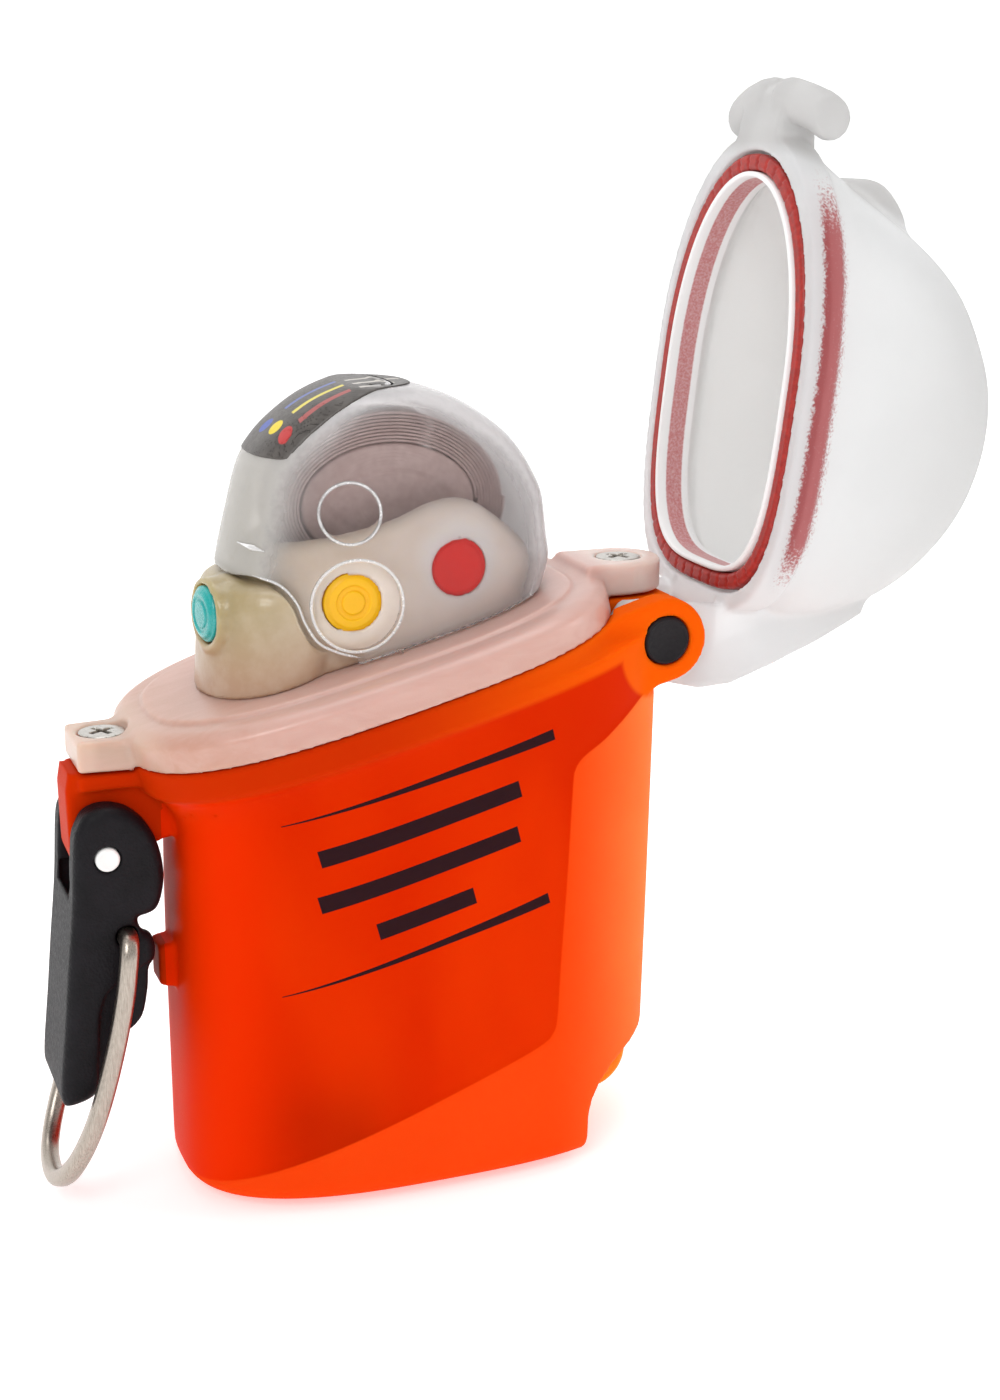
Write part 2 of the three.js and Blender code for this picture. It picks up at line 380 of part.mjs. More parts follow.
const tealRod = (r, d0, d1, n = 28) => {   // along the button's axis, d from the outer face inwards
  const g = new THREE.CylinderGeometry(r, r, d1 - d0, n);
  g.rotateZ(-Math.PI / 2);
  g.translate((d0 + d1) / 2, 0, 0);
  g.rotateZ(TROT);
  g.translate(TEAL[0], TEAL[1], TEAL[2]);
  return solid(g);
};
boot = boot.subtract(tealRod(3.3, -5, 5.5));
{
  const parts = boot.decompose();
  parts.sort((a, b) => b.volume() - a.volume());
  boot = parts[0];
}
put('keypad_boot', boot, 0xcfd2c4, 0.4);

// ---- buttons and their switches ----------------------------------------
const button = (c, y0, r, stem = 1.9) => rodY(c[0], c[1], r, y0 + 0.25, y0 + 1.25, 28).add(rodY(c[0], c[1], r - 0.3, y0, y0 + 0.6, 28)).add(rodY(c[0], c[1], 1.4, y0 + 0.6, y0 + stem, 16));
put('test_button', button(YEL, -9.2, 3.2).subtract(rodY(YEL[0], YEL[1], 1.85, -12, -8.98, 28).subtract(rodY(YEL[0], YEL[1], 1.3, -13, -8, 28))), 0xfac80a, 0.4);
put('distress_button', button(RED, -9.0, 3.2, 1.65), 0xde3e32, 0.4);
put('power_button', tealRod(3.0, -0.3, 1.6).add(tealRod(2.6, -0.65, 0)).add(tealRod(1.3, 1.4, 2.5, 16)), 0x28b4aa, 0.35);
put('test_switch', box(YEL[0] - 2.2, YEL[0] + 2.2, -6.75, -5.95, YEL[1] - 2.2, YEL[1] + 2.2), 0x2b2b2b, 0.5);
put('distress_switch', box(RED[0] - 2.2, RED[0] + 2.2, -6.75, -5.95, RED[1] - 2.2, RED[1] + 2.2), 0x2b2b2b, 0.5);
put('keypad_board', plate([[-12.5, 60.6], [6, 64.8], [6, 72.4], [-4, 71.2], [-12.5, 69.4]], -5.75, -4.95), 0x2f5d3a, 0.5);
{
  const g = new THREE.BoxGeometry(1.2, 4.4, 4.4);
  g.translate(3.9, 0, 0);
  g.rotateZ(TROT);
  g.translate(TEAL[0], TEAL[1], TEAL[2]);
  put('power_switch', solid(g), 0x2b2b2b, 0.5);
}

// ---- wound tape antenna and its hub ------------------------------------
const oval = (a, b, y0, y1, n = 40) => {
  const s = new THREE.Shape(Array.from({ length: n }, (_, i) => new THREE.Vector2(
    -2.0 + a * Math.cos(2 * Math.PI * i / n), 74.9 + b * Math.sin(2 * Math.PI * i / n))));
  return plate(s, y0, y1);
};
put('antenna_coil', oval(13.2, 10.1, -3.4, 3.4).subtract(oval(9.6, 6.4, -5, 5)), 0x7c6e74, 0.5);
put('antenna_hub', oval(9.2, 6.0, -3.4, 4.2, 28).add(plate([[-8.6, 62.6], [4.6, 66.0], [4.6, 77.3], [-8.6, 77.3]], 3.7, 5.0))
  .subtract(oval(6.3, 3.3, -8, 8, 24)), 0xd8d8d6, 0.5);

// ---- electronics on the slanted board ----------------------------------
const chip = (u0, u1, y0, y1, w0, w1) => loftBox(u0, u1, y0, y1, w0, w1);
function loftBox(u0, u1, y0, y1, w0, w1) {
  const g = new THREE.BoxGeometry(u1 - u0, y1 - y0, w1 - w0);
  g.translate((u0 + u1) / 2, (y0 + y1) / 2, (w0 + w1) / 2);
  g.rotateY(-TILT);
  g.translate(RIM[0], 0, RIM[1]);
  return solid(g);
}
put('main_circuit_board', chip(-19.8, 19.5, -10.4, 10.4, -7.6, -6.4), 0x2f5d3a, 0.5);
put('gps_patch_antenna', chip(-13.5, 1.5, -7.0, 7.0, -6.1, -2.0), 0xcdbb9a, 0.5);
put('radio_shield_can', chip(5.5, 16.5, -8.5, 6.5, -6.1, -3.6), 0xb9bcc0, 0.35, 1);
put('strobe_led', chip(-18.6, -15.2, -1.9, 1.9, -6.1, -4.2), 0xf4f2d8, 0.2);

// ---- batteries, cradle and contacts ------------------------------------
for (const [name, s] of [['battery_cell_latch_side', -1], ['battery_cell_hinge_side', 1]]) {
  put(name, lathe([[0, 7.6], [CELL_R - 0.5, 7.6], [CELL_R, 8.1], [CELL_R, 7.6 + CELL_H - 1.4], [CELL_R - 0.6, 7.6 + CELL_H - 0.8],
    [3.2, 7.6 + CELL_H - 0.8], [3.2, 7.6 + CELL_H], [0, 7.6 + CELL_H]], 28).translate([s * 8.85, 0, 0]), 0x35302e, 0.4);
}
let cradle = box(-18.4, 18.4, -9.6, 9.6, 2.3, 14);
cradle = cradle.subtract(plate([[16.0, 0], [16.1, 5.4], [17.0, 7.6], [18.4, 9.2], [20, 10.8], [20, 0]], -12, 12));
for (const s of [-1, 1]) cradle = cradle.subtract(rodZ(s * 8.85, 0, 8.75, 5.0, 20, 32));
put('battery_cradle', cradle, 0x3a3a3c, 0.6);
for (const [name, s] of [['battery_spring_latch_side', -1], ['battery_spring_hinge_side', 1]]) {
  const q = [];
  for (let i = 0; i <= 24; i++) {
    const a = i / 24 * 2.2 * 2 * Math.PI, r = 5.0 - 2.4 * i / 24;
    q.push(V(s * 8.85 + r * Math.cos(a), r * Math.sin(a), 5.5 + 1.6 * i / 24));
  }
  put(name, sweep(disc(0.3, 4), new THREE.CatmullRomCurve3(q, false, 'centripetal'), 26), 0xbfb9ad, 0.3, 1);
}
put('battery_contact_bar', box(-12.5, 12.5, -3.0, 3.0, 41.3, 41.8), 0xc8b27a, 0.35, 1);

export default group;
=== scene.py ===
import math

import bpy
import numpy as np
from mathutils import Matrix, Vector


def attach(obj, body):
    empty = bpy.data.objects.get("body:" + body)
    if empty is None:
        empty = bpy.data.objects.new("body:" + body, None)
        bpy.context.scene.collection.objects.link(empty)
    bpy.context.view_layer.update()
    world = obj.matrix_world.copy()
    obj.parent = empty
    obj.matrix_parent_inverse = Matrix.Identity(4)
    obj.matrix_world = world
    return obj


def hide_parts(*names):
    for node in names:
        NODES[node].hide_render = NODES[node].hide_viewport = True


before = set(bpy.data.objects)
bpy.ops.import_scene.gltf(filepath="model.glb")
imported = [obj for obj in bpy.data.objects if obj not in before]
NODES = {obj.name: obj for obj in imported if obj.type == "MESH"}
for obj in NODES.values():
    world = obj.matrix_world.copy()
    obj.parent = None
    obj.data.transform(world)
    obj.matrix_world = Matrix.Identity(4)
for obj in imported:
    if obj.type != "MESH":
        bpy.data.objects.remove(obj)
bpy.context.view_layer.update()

MM = 0.001

# ------------------------------------------------------------------ design values, mm, same frame as the CAD
TILT = math.radians(13.74)
CT, ST = math.cos(TILT), math.sin(TILT)
RIM = (-3.91, 55.72)
RIM_A, RIM_B, RIM_H = 27.81, 17.82, 3.3
COVER_T = 4.2
HINGE = (27.08, 59.15)
HINGE_R = 2.7
EAR_R = 4.7
OPEN = math.radians(110.96)
LATCH = (-34.6, 39.84)
BAIL = (-33.0, 31.0)
SCREW_L = (-33.37, 52.06)
SCREW_R = (26.37, 66.5)
YEL, RED, TEAL, TROT = (-7.9, 65.7), (3.7, 68.6), (-22.3, -3.1, 64.5), math.radians(9)


def sl(u, w):
    return (RIM[0] + u * CT - w * ST, RIM[1] + u * ST + w * CT)


def slant(a, b, w, x=0.0, n1=2.75, n2=2.8):
    return dict(L=sl(x - a, w), R=sl(x + a, w), b=b, n1=n1, n2=n2)


def ring(L, R, b, n1=2.8, n2=None):
    return dict(L=L, R=R, b=b, n1=n1, n2=n1 if n2 is None else n2)


def grow(rings, d):
    out = []
    for r in rings:
        dx, dz = r["R"][0] - r["L"][0], r["R"][1] - r["L"][1]
        k = d / math.hypot(dx, dz)
        out.append(dict(r, L=(r["L"][0] - dx * k, r["L"][1] - dz * k), R=(r["R"][0] + dx * k, r["R"][1] + dz * k), b=r["b"] + d))
    return out


# ------------------------------------------------------------------ fields on a grid
class Grid:
    def __init__(self, x0, x1, y0, y1, z0, z1, h):
        self.h = h
        self.x = np.arange(x0, x1 + h, h, dtype=np.float32)
        self.y = np.arange(y0, y1 + h, h, dtype=np.float32)
        self.z = np.arange(z0, z1 + h, h, dtype=np.float32)
        self.X, self.Z = np.meshgrid(self.x, self.z, indexing="ij")
        self.Y = self.y[None, :, None]
        self.X3 = self.x[:, None, None]
        self.Z3 = self.z[None, None, :]


def pchip(s, V, q):
    h = np.diff(s)
    d = np.diff(V, axis=0) / h[:, None]
    m = np.zeros_like(V)
    for i in range(1, len(s) - 1):
        w1, w2 = 2 * h[i] + h[i - 1], h[i] + 2 * h[i - 1]
        same = d[i - 1] * d[i] > 0
        a, b = np.where(same, d[i - 1], 1.0), np.where(same, d[i], 1.0)
        m[i] = np.where(same, (w1 + w2) / (w1 / a + w2 / b), 0.0)
    m[0], m[-1] = d[0], d[-1]
    i = np.clip(np.searchsorted(s, q, side="right") - 1, 0, len(s) - 2)
    t = ((q - s[i]) / h[i])[:, None]
    hh = h[i][:, None]
    return ((1 + 2 * t) * (1 - t) ** 2 * V[i] + t * (1 - t) ** 2 * hh * m[i]
            + t * t * (3 - 2 * t) * V[i + 1] + t * t * (t - 1) * hh * m[i + 1])


def loft(g, rings, k=5, smooth=True):
    """Side surface of a stack of superellipse rings, with the heights above its first and last ring."""
    V = np.array([[*r["L"], *r["R"], r["b"], r["n1"], r["n2"]] for r in rings], float)
    mid = (V[:, :2] + V[:, 2:4]) / 2
    s = np.concatenate([[0], np.cumsum(np.hypot(*np.diff(mid, axis=0).T) + 0.25 * np.abs(np.diff(V[:, 4])))])
    if smooth and len(rings) > 2:
        q = np.unique(np.concatenate([np.linspace(s[i], s[i + 1], k + 1) for i in range(len(s) - 1)]))
        V = pchip(s, V, q)
    L, R = V[:, :2], V[:, 2:4]
    d = R - L
    ln = np.hypot(d[:, 0], d[:, 1])
    dx, dz = d[:, 0] / ln, d[:, 1] / ln
    G = np.stack([(g.X - L[j, 0]) * -dz[j] + (g.Z - L[j, 1]) * dx[j] for j in range(len(V))]).astype(np.float32)
    idx = np.clip((G >= 0).sum(0) - 1, 0, len(V) - 2)
    g0 = np.take_along_axis(G, idx[None], 0)[0]
    g1 = np.take_along_axis(G, idx[None] + 1, 0)[0]
    t = np.clip(g0 / (g0 - g1 + 1e-9), 0, 1)
    W = (V[idx] * (1 - t[..., None]) + V[idx + 1] * t[..., None]).astype(np.float32)
    a = np.hypot(W[..., 2] - W[..., 0], W[..., 3] - W[..., 1]) / 2
    mx, mz = (W[..., 0] + W[..., 2]) / 2, (W[..., 1] + W[..., 3]) / 2
    ux, uz = (W[..., 2] - W[..., 0]) / (2 * a), (W[..., 3] - W[..., 1]) / (2 * a)
    u = ((g.X - mx) * ux + (g.Z - mz) * uz) / a
    n = np.where(u < 0, W[..., 5], W[..., 6])[:, None, :]
    A = np.maximum(np.abs(u), 1e-4)[:, None, :]
    B = np.maximum(np.abs(g.Y) / W[..., 4][:, None, :], 1e-4)
    rho = np.power(np.power(A, n) + np.power(B, n), 1 / n)
    gr = np.sqrt((np.power(A / rho, n - 1) / a[:, None, :]) ** 2 + (np.power(B / rho, n - 1) / W[..., 4][:, None, :]) ** 2)
    f = (rho - 1) / gr
    # the surface's own slope along the stack
    return f.astype(np.float32), -G[0][:, None, :], G[-1][:, None, :]


def smax(a, b, k):
    if k <= 0:
        return np.maximum(a, b)
    h = np.clip(0.5 + 0.5 * (a - b) / k, 0, 1)
    return b * (1 - h) + a * h + k * h * (1 - h)


def smin(a, b, k):
    return -smax(-a, -b, k)


def body(g, rings, kb=0.0, kt=0.0, **kw):
    f, lo, hi = loft(g, rings, **kw)
    return smax(smax(f, lo, kb), hi, kt)


def closed(points, n=8):
    """A smooth closed outline through the points."""
    P = np.array(points, float)
    out = []
    for i in range(len(P)):
        p0, p1, p2, p3 = P[i - 1], P[i], P[(i + 1) % len(P)], P[(i + 2) % len(P)]
        for j in range(n):
            t = j / n
            out.append(0.5 * (2 * p1 + (p2 - p0) * t + (2 * p0 - 5 * p1 + 4 * p2 - p3) * t * t + (3 * p1 - p0 - 3 * p2 + p3) * t ** 3))
    return out


def opened(points, n=8):
    P = np.array(points, float)
    P = np.vstack([2 * P[0] - P[1], P, 2 * P[-1] - P[-2]])
    out = []
    for i in range(1, len(P) - 2):
        p0, p1, p2, p3 = P[i - 1], P[i], P[i + 1], P[i + 2]
        for j in range(n):
            t = j / n
            out.append(0.5 * (2 * p1 + (p2 - p0) * t + (2 * p0 - 5 * p1 + 4 * p2 - p3) * t * t + (3 * p1 - p0 - 3 * p2 + p3) * t ** 3))
    out.append(P[-2])
    return [tuple(q) for q in out]


def poly(X, Z, points):
    """Signed distance to an outline, negative inside."""
    P = np.array(points, float)
    Q = np.roll(P, -1, 0)
    d2 = np.full(X.shape, 1e9, np.float32)
    inside = np.zeros(X.shape, bool)
    for p, q in zip(P, Q):
        e = q - p
        ee = float(e @ e)
        if ee < 1e-12:
            continue
        wx, wz = X - p[0], Z - p[1]
        t = np.clip((wx * e[0] + wz * e[1]) / ee, 0, 1)
        d2 = np.minimum(d2, (wx - e[0] * t) ** 2 + (wz - e[1] * t) ** 2)
        if p[1] != q[1]:
            inside ^= ((p[1] > Z) != (q[1] > Z)) & (X < (q[0] - p[0]) * (Z - p[1]) / (q[1] - p[1]) + p[0])
    return (np.where(inside, -1, 1) * np.sqrt(d2)).astype(np.float32)


def ext(g, d2, y0, y1, r=0.4):
    """A plate of outline d2 between two depths, with its edges rounded."""
    a = d2[:, None, :] + r
    b = np.abs(g.Y - (y0 + y1) / 2) - (y1 - y0) / 2 + r
    return np.minimum(np.maximum(a, b), 0) + np.hypot(np.maximum(a, 0), np.maximum(b, 0)) - r


def plate(g, points, y0, y1, r=0.4):
    return ext(g, poly(g.X, g.Z, points), y0, y1, r)


def rod_y(g, x, z, rad, y0, y1, r=0.0):
    return ext(g, (np.hypot(g.X - x, g.Z - z) - rad).astype(np.float32), y0, y1, r)


def rod_z(g, x, y, rad, z0, z1):
    return np.maximum(np.hypot(g.X3 - x, g.Y - y) - rad, np.maximum(z0 - g.Z3, g.Z3 - z1))


def plane(g, w):
    """Height above a plane parallel to the joint plane."""
    return ((g.X - RIM[0]) * -ST + (g.Z - RIM[1]) * CT - w)[:, None, :]


def tube(g, pts, rad):
    """Union of round capsules along a path in space."""
    out = None
    for p, q in zip(pts[:-1], pts[1:]):
        p, q = np.array(p, float), np.array(q, float)
        e = q - p
        wx, wy, wz = g.X3 - p[0], g.Y - p[1], g.Z3 - p[2]
        t = np.clip((wx * e[0] + wy * e[1] + wz * e[2]) / float(e @ e), 0, 1)
        d = np.sqrt((wx - e[0] * t) ** 2 + (wy - e[1] * t) ** 2 + (wz - e[2] * t) ** 2) - rad
        out = d if out is None else np.minimum(out, d)
    return out.astype(np.float32)


# ------------------------------------------------------------------ surface of a field
def sample(F, g, P):
    q = (P - np.array([g.x[0], g.y[0], g.z[0]])) / g.h
    lim = np.array(F.shape) - 1.001
    q = np.clip(q, 0, lim)
    i = q.astype(int)
    f = q - i
    out = 0
    for a in (0, 1):
        for b in (0, 1):
            for c in (0, 1):
                w = (f[:, 0] if a else 1 - f[:, 0]) * (f[:, 1] if b else 1 - f[:, 1]) * (f[:, 2] if c else 1 - f[:, 2])
                out = out + w * F[i[:, 0] + a, i[:, 1] + b, i[:, 2] + c]
    return out


def true_distance(F, g):
    """Divide a field by its slope, so offsets of it have an even thickness."""
    F = np.ascontiguousarray(np.broadcast_to(F, (len(g.x), len(g.y), len(g.z)))).astype(np.float32)
    gx, gy, gz = np.gradient(F, g.h)
    return F / np.maximum(np.sqrt(gx * gx + gy * gy + gz * gz), 0.12)


def gradient(F, g, P, e=0.6):
    G = np.zeros_like(P)
    for k in range(3):
        d = np.zeros(3)
        d[k] = e * g.h
        G[:, k] = (sample(F, g, P + d) - sample(F, g, P - d)) / (2 * e * g.h)
    return G


def nets(F, g, steps=3):
    F = np.ascontiguousarray(np.broadcast_to(F, (len(g.x), len(g.y), len(g.z)))).astype(np.float32)
    neg = F < 0
    nx, ny, nz = F.shape
    cnt = np.zeros((nx - 1, ny - 1, nz - 1), np.int8)
    for a in (0, 1):
        for b in (0, 1):
            for c in (0, 1):
                cnt += neg[a:nx - 1 + a, b:ny - 1 + b, c:nz - 1 + c]
    cells = np.argwhere((cnt > 0) & (cnt < 8))
    idx = np.full(cnt.shape, -1, np.int32)
    idx[cells[:, 0], cells[:, 1], cells[:, 2]] = np.arange(len(cells))
    corner = np.array([(a, b, c) for a in (0, 1) for b in (0, 1) for c in (0, 1)])
    val = np.stack([F[cells[:, 0] + a, cells[:, 1] + b, cells[:, 2] + c] for a, b, c in corner], 1)
    pos, num = np.zeros((len(cells), 3)), np.zeros(len(cells))
    for p in range(8):
        for q in range(p + 1, 8):
            if np.abs(corner[p] - corner[q]).sum() != 1:
                continue
            fa, fb = val[:, p], val[:, q]
            m = (fa < 0) != (fb < 0)
            t = np.where(m, fa / np.where(m, fa - fb, 1), 0)
            pos += m[:, None] * (corner[p] + t[:, None] * (corner[q] - corner[p]))
            num += m
    P = (cells + pos / num[:, None]) * g.h + np.array([g.x[0], g.y[0], g.z[0]])
    quads = []
    for ax in range(3):
        o = [i for i in range(3) if i != ax]
        sl0, sl1 = [slice(None)] * 3, [slice(None)] * 3
        sl0[ax], sl1[ax] = slice(0, -1), slice(1, None)
        a, b = neg[tuple(sl0)], neg[tuple(sl1)]
        E = np.argwhere(a != b)
        ok = (E[:, o[0]] > 0) & (E[:, o[1]] > 0) & (E[:, o[0]] < F.shape[o[0]] - 1) & (E[:, o[1]] < F.shape[o[1]] - 1)
        E = E[ok]
        inside = a[E[:, 0], E[:, 1], E[:, 2]]
        ids = []
        for du, dv in ((0, 0), (1, 0), (1, 1), (0, 1)):
            C = E.copy()
            C[:, o[0]] -= du
            C[:, o[1]] -= dv
            ids.append(idx[C[:, 0], C[:, 1], C[:, 2]])
        q = np.stack(ids, 1)
        flip = inside if ax != 1 else ~inside
        q[~flip] = q[~flip][:, ::-1]
        quads.append(q)
    quads = np.concatenate(quads)
    for _ in range(steps):
        G = gradient(F, g, P)
        f = sample(F, g, P)
        m2 = (G ** 2).sum(1)
        step = -f[:, None] * G / np.maximum(m2, 0.15)[:, None]
        far = np.linalg.norm(step, axis=1)
        P = P + step * np.minimum(1, 0.45 * g.h / np.maximum(far, 1e-9))[:, None]
    N = gradient(F, g, P, 0.9)
    N /= np.maximum(np.linalg.norm(N, axis=1), 1e-9)[:, None]
    return P, quads, N


def open_lid(P):
    x, z = P[:, 0] - HINGE[0], P[:, 2] - HINGE[1]
    c, s = math.cos(OPEN), math.sin(OPEN)
    return np.stack([HINGE[0] + x * c + z * s, P[:, 1], HINGE[1] - x * s + z * c], 1)


def mesh_from(name, P, faces, N=None, attrs=None):
    me = bpy.data.meshes.new(name)
    me.from_pydata((P * MM).tolist(), [], faces.tolist() if hasattr(faces, "tolist") else faces)
    me.validate()
    me.shade_smooth()
    for k, v in (attrs or {}).items():
        at = me.attributes.new(k, "FLOAT", "POINT")
        at.data.foreach_set("value", np.asarray(v, np.float32))
    if N is not None:
        me.normals_split_custom_set_from_vertices(N.tolist())
    o = bpy.data.objects.new(name, me)
    bpy.context.scene.collection.objects.link(o)
    return o


def piece(o, body_name, material, node=None):
    o.data.materials.clear()
    o.data.materials.append(material)
    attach(o, body_name)
    if node:
        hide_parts(*([node] if isinstance(node, str) else node))
    return o


def glow(P):
    """How near a point of the shut lid's skin is to the gasket behind it."""
    x, y, z = P.T
    w = (x - RIM[0]) * -ST + (z - RIM[1]) * CT
    u = (x - RIM[0]) * CT + (z - RIM[1]) * ST - 1.96
    n = np.where(u < 0, 2.1, 3.45)
    rho = (np.abs(u / 23.3) ** n + np.abs(y / 15.7) ** n) ** (1 / n)
    side = (rho - 1) * 16
    hi = np.clip((10.2 - w) / 2.2, 0, 1) * np.clip((w - 5.6) / 1.0, 0, 1)
    return {"glow": hi * np.clip(side / 0.9, 0, 1) * np.clip((6.0 - side) / 2.0, 0, 1) * np.clip((24 - np.abs(u)) / 8, 0, 1)}


def field_piece(name, g, F, body_name, material, node, lid=False, attrs=None):
    P, Q, N = nets(F, g)
    extra = attrs(P) if attrs else None
    if lid:
        zero = np.zeros(3)
        P = open_lid(P)
        c, s = math.cos(OPEN), math.sin(OPEN)
        N = np.stack([N[:, 0] * c + N[:, 2] * s, N[:, 1], -N[:, 0] * s + N[:, 2] * c], 1)
    return piece(mesh_from(name, P, Q, N, extra), body_name, material, node)


def lathe_piece(name, profile, n, place):
    """Profile of (r, h) from the axis to the axis, turned and placed by a function of (x, y, h)."""
    verts, faces = [], []
    rows = []
    for r, h in profile:
        if r < 1e-6:
            rows.append([len(verts)])
            verts.append((0, 0, h))
        else:
            rows.append(list(range(len(verts), len(verts) + n)))
            verts += [(r * math.cos(2 * math.pi * i / n), r * math.sin(2 * math.pi * i / n), h) for i in range(n)]
    for a, b in zip(rows[:-1], rows[1:]):
        for i in range(n):
            j = (i + 1) % n
            if len(a) == 1 and len(b) == 1:
                continue
            if len(a) == 1:
                faces.append((a[0], b[i], b[j]))
            elif len(b) == 1:
                faces.append((a[i], b[0], a[j]))
            else:
                faces.append((a[i], b[i], b[j], a[j]))
    P = np.array([place(*v) for v in verts])
    o = mesh_from(name, P, np.empty((0, 3), int) if not faces else faces)
    o.data.set_sharp_from_angle(angle=math.radians(50))
    return o


# ------------------------------------------------------------------ materials
def new_mat(name):
    m = bpy.data.materials.new(name)
    m.use_nodes = True
    nt = m.node_tree
    nt.nodes.clear()
    out = nt.nodes.new("ShaderNodeOutputMaterial")
    b = nt.nodes.new("ShaderNodeBsdfPrincipled")
    nt.links.new(b.outputs[0], out.inputs[0])
    return m, nt, b


class NT:
    def __init__(self, nt):
        self.nt = nt
        self.co = nt.nodes.new("ShaderNodeTexCoord").outputs["Object"]

    def link(self, a, b):
        self.nt.links.new(a, b)

    def math(self, op, a, b=None, c=None, clamp=False):
        n = self.nt.nodes.new("ShaderNodeMath")
        n.operation = op
        n.use_clamp = clamp
        for i, v in enumerate((a, b, c)):
            if v is None:
                continue
            if isinstance(v, (int, float)):
                n.inputs[i].default_value = v
            else:
                self.link(v, n.inputs[i])
        return n.outputs[0]

    def noise(self, per_mm, detail=3.0, rough=0.55, dist=0.0, scale=None):
        n = self.nt.nodes.new("ShaderNodeTexNoise")
        n.inputs["Scale"].default_value = per_mm * 1000
        n.inputs["Detail"].default_value = detail
        n.inputs["Roughness"].default_value = rough
        n.inputs["Distortion"].default_value = dist
        if scale:
            mp = self.nt.nodes.new("ShaderNodeMapping")
            mp.inputs["Scale"].default_value = scale
            self.link(self.co, mp.inputs["Vector"])
            self.link(mp.outputs[0], n.inputs["Vector"])
        else:
            self.link(self.co, n.inputs["Vector"])
        return n.outputs[0]

    def voronoi(self, per_mm, feature="F1", out="Distance"):
        n = self.nt.nodes.new("ShaderNodeTexVoronoi")
        n.feature = feature
        n.inputs["Scale"].default_value = per_mm * 1000
        self.link(self.co, n.inputs["Vector"])
        return n.outputs[out]

    def ramp(self, v, lo, hi, a=0.0, b=1.0, smooth=True):
        n = self.nt.nodes.new("ShaderNodeMapRange")
        n.interpolation_type = "SMOOTHSTEP" if smooth else "LINEAR"
        self.link(v, n.inputs["Value"])
        for k, x in zip(("From Min", "From Max", "To Min", "To Max"), (lo, hi, a, b)):
            n.inputs[k].default_value = x
        return n.outputs[0]

    def mix(self, f, a, b):
        n = self.nt.nodes.new("ShaderNodeMix")
        n.data_type = "RGBA"
        if isinstance(f, (int, float)):
            n.inputs[0].default_value = f
        else:
            self.link(f, n.inputs[0])
        for i, v in ((6, a), (7, b)):
            if isinstance(v, (tuple, list)):
                n.inputs[i].default_value = (*v[:3], 1)
            else:
                self.link(v, n.inputs[i])
        return n.outputs[2]

    def attr(self, name):
        n = self.nt.nodes.new("ShaderNodeAttribute")
        n.attribute_name = name
        return n.outputs["Fac"]

    def axis(self, i):
        n = self.nt.nodes.new("ShaderNodeSeparateXYZ")
        self.link(self.co, n.inputs[0])
        return self.math("MULTIPLY", n.outputs[i], 1000.0)

    def bump(self, height, mm, normal=None, strength=1.0):
        n = self.nt.nodes.new("ShaderNodeBump")
        n.inputs["Strength"].default_value = strength
        n.inputs["Distance"].default_value = mm * MM
        self.link(height, n.inputs["Height"])
        if normal is not None:
            self.link(normal, n.inputs["Normal"])
        return n.outputs[0]


def srgb(r, g, b):
    f = lambda c: c / 255 / 12.92 if c / 255 <= 0.04045 else ((c / 255 + 0.055) / 1.055) ** 2.4
    return (f(r), f(g), f(b))


def scaled(c, k):
    return tuple(min(1.0, v * k) for v in c)


def plastic(name, color, rough=0.4, vary=0.06, grain=0.012, grain_mm=4.0, coat=0.0, sss=0.0, radius=(1, 1, 1),
            sss_mm=2.0, trans=0.0, ior=1.46, metal=0.0, spec=0.5, wear=0.0, alpha=None, rvary=0.08):
    m, nt, b = new_mat(name)
    t = NT(nt)
    big = t.noise(0.12, 3)
    fine = t.noise(grain_mm, 2)
    c = t.mix(t.ramp(big, 0.3, 0.7), scaled(color, 1 - vary), scaled(color, 1 + vary))
    if wear:
        scuff = t.noise(1.4, 6, 0.7, 0.4)
        c = t.mix(t.ramp(scuff, 0.62, 0.78, 0, wear), c, scaled(color, 1.7))
    t.link(c, b.inputs["Base Color"])
    t.link(t.ramp(fine, 0.25, 0.75, rough - rvary, rough + rvary), b.inputs["Roughness"])
    if grain:
        t.link(t.bump(fine, grain), b.inputs["Normal"])
    b.inputs["Metallic"].default_value = metal
    b.inputs["IOR"].default_value = ior
    b.inputs["Specular IOR Level"].default_value = spec
    b.inputs["Coat Weight"].default_value = coat
    b.inputs["Coat Roughness"].default_value = 0.12
    b.inputs["Subsurface Weight"].default_value = sss
    b.inputs["Subsurface Radius"].default_value = radius
    b.inputs["Subsurface Scale"].default_value = sss_mm * MM
    b.inputs["Transmission Weight"].default_value = trans
    if alpha is not None:
        b.inputs["Alpha"].default_value = alpha
    return m


# marks printed on the front: two tapering rules and three plain stripes, as (start, end, width at start, width at end)
MARKS = [((-17.9, 43.95), (11.75, 51.35), 0.10, 1.25), ((-18.3, 24.85), (11.35, 32.75), 0.10, 1.25),
         ((-14.2, 40.2), (7.8, 45.8), 1.9, 1.9), ((-14.3, 35.1), (7.7, 40.7), 1.9, 1.9), ((-8.2, 31.6), (2.6, 34.4), 1.9, 1.9)]


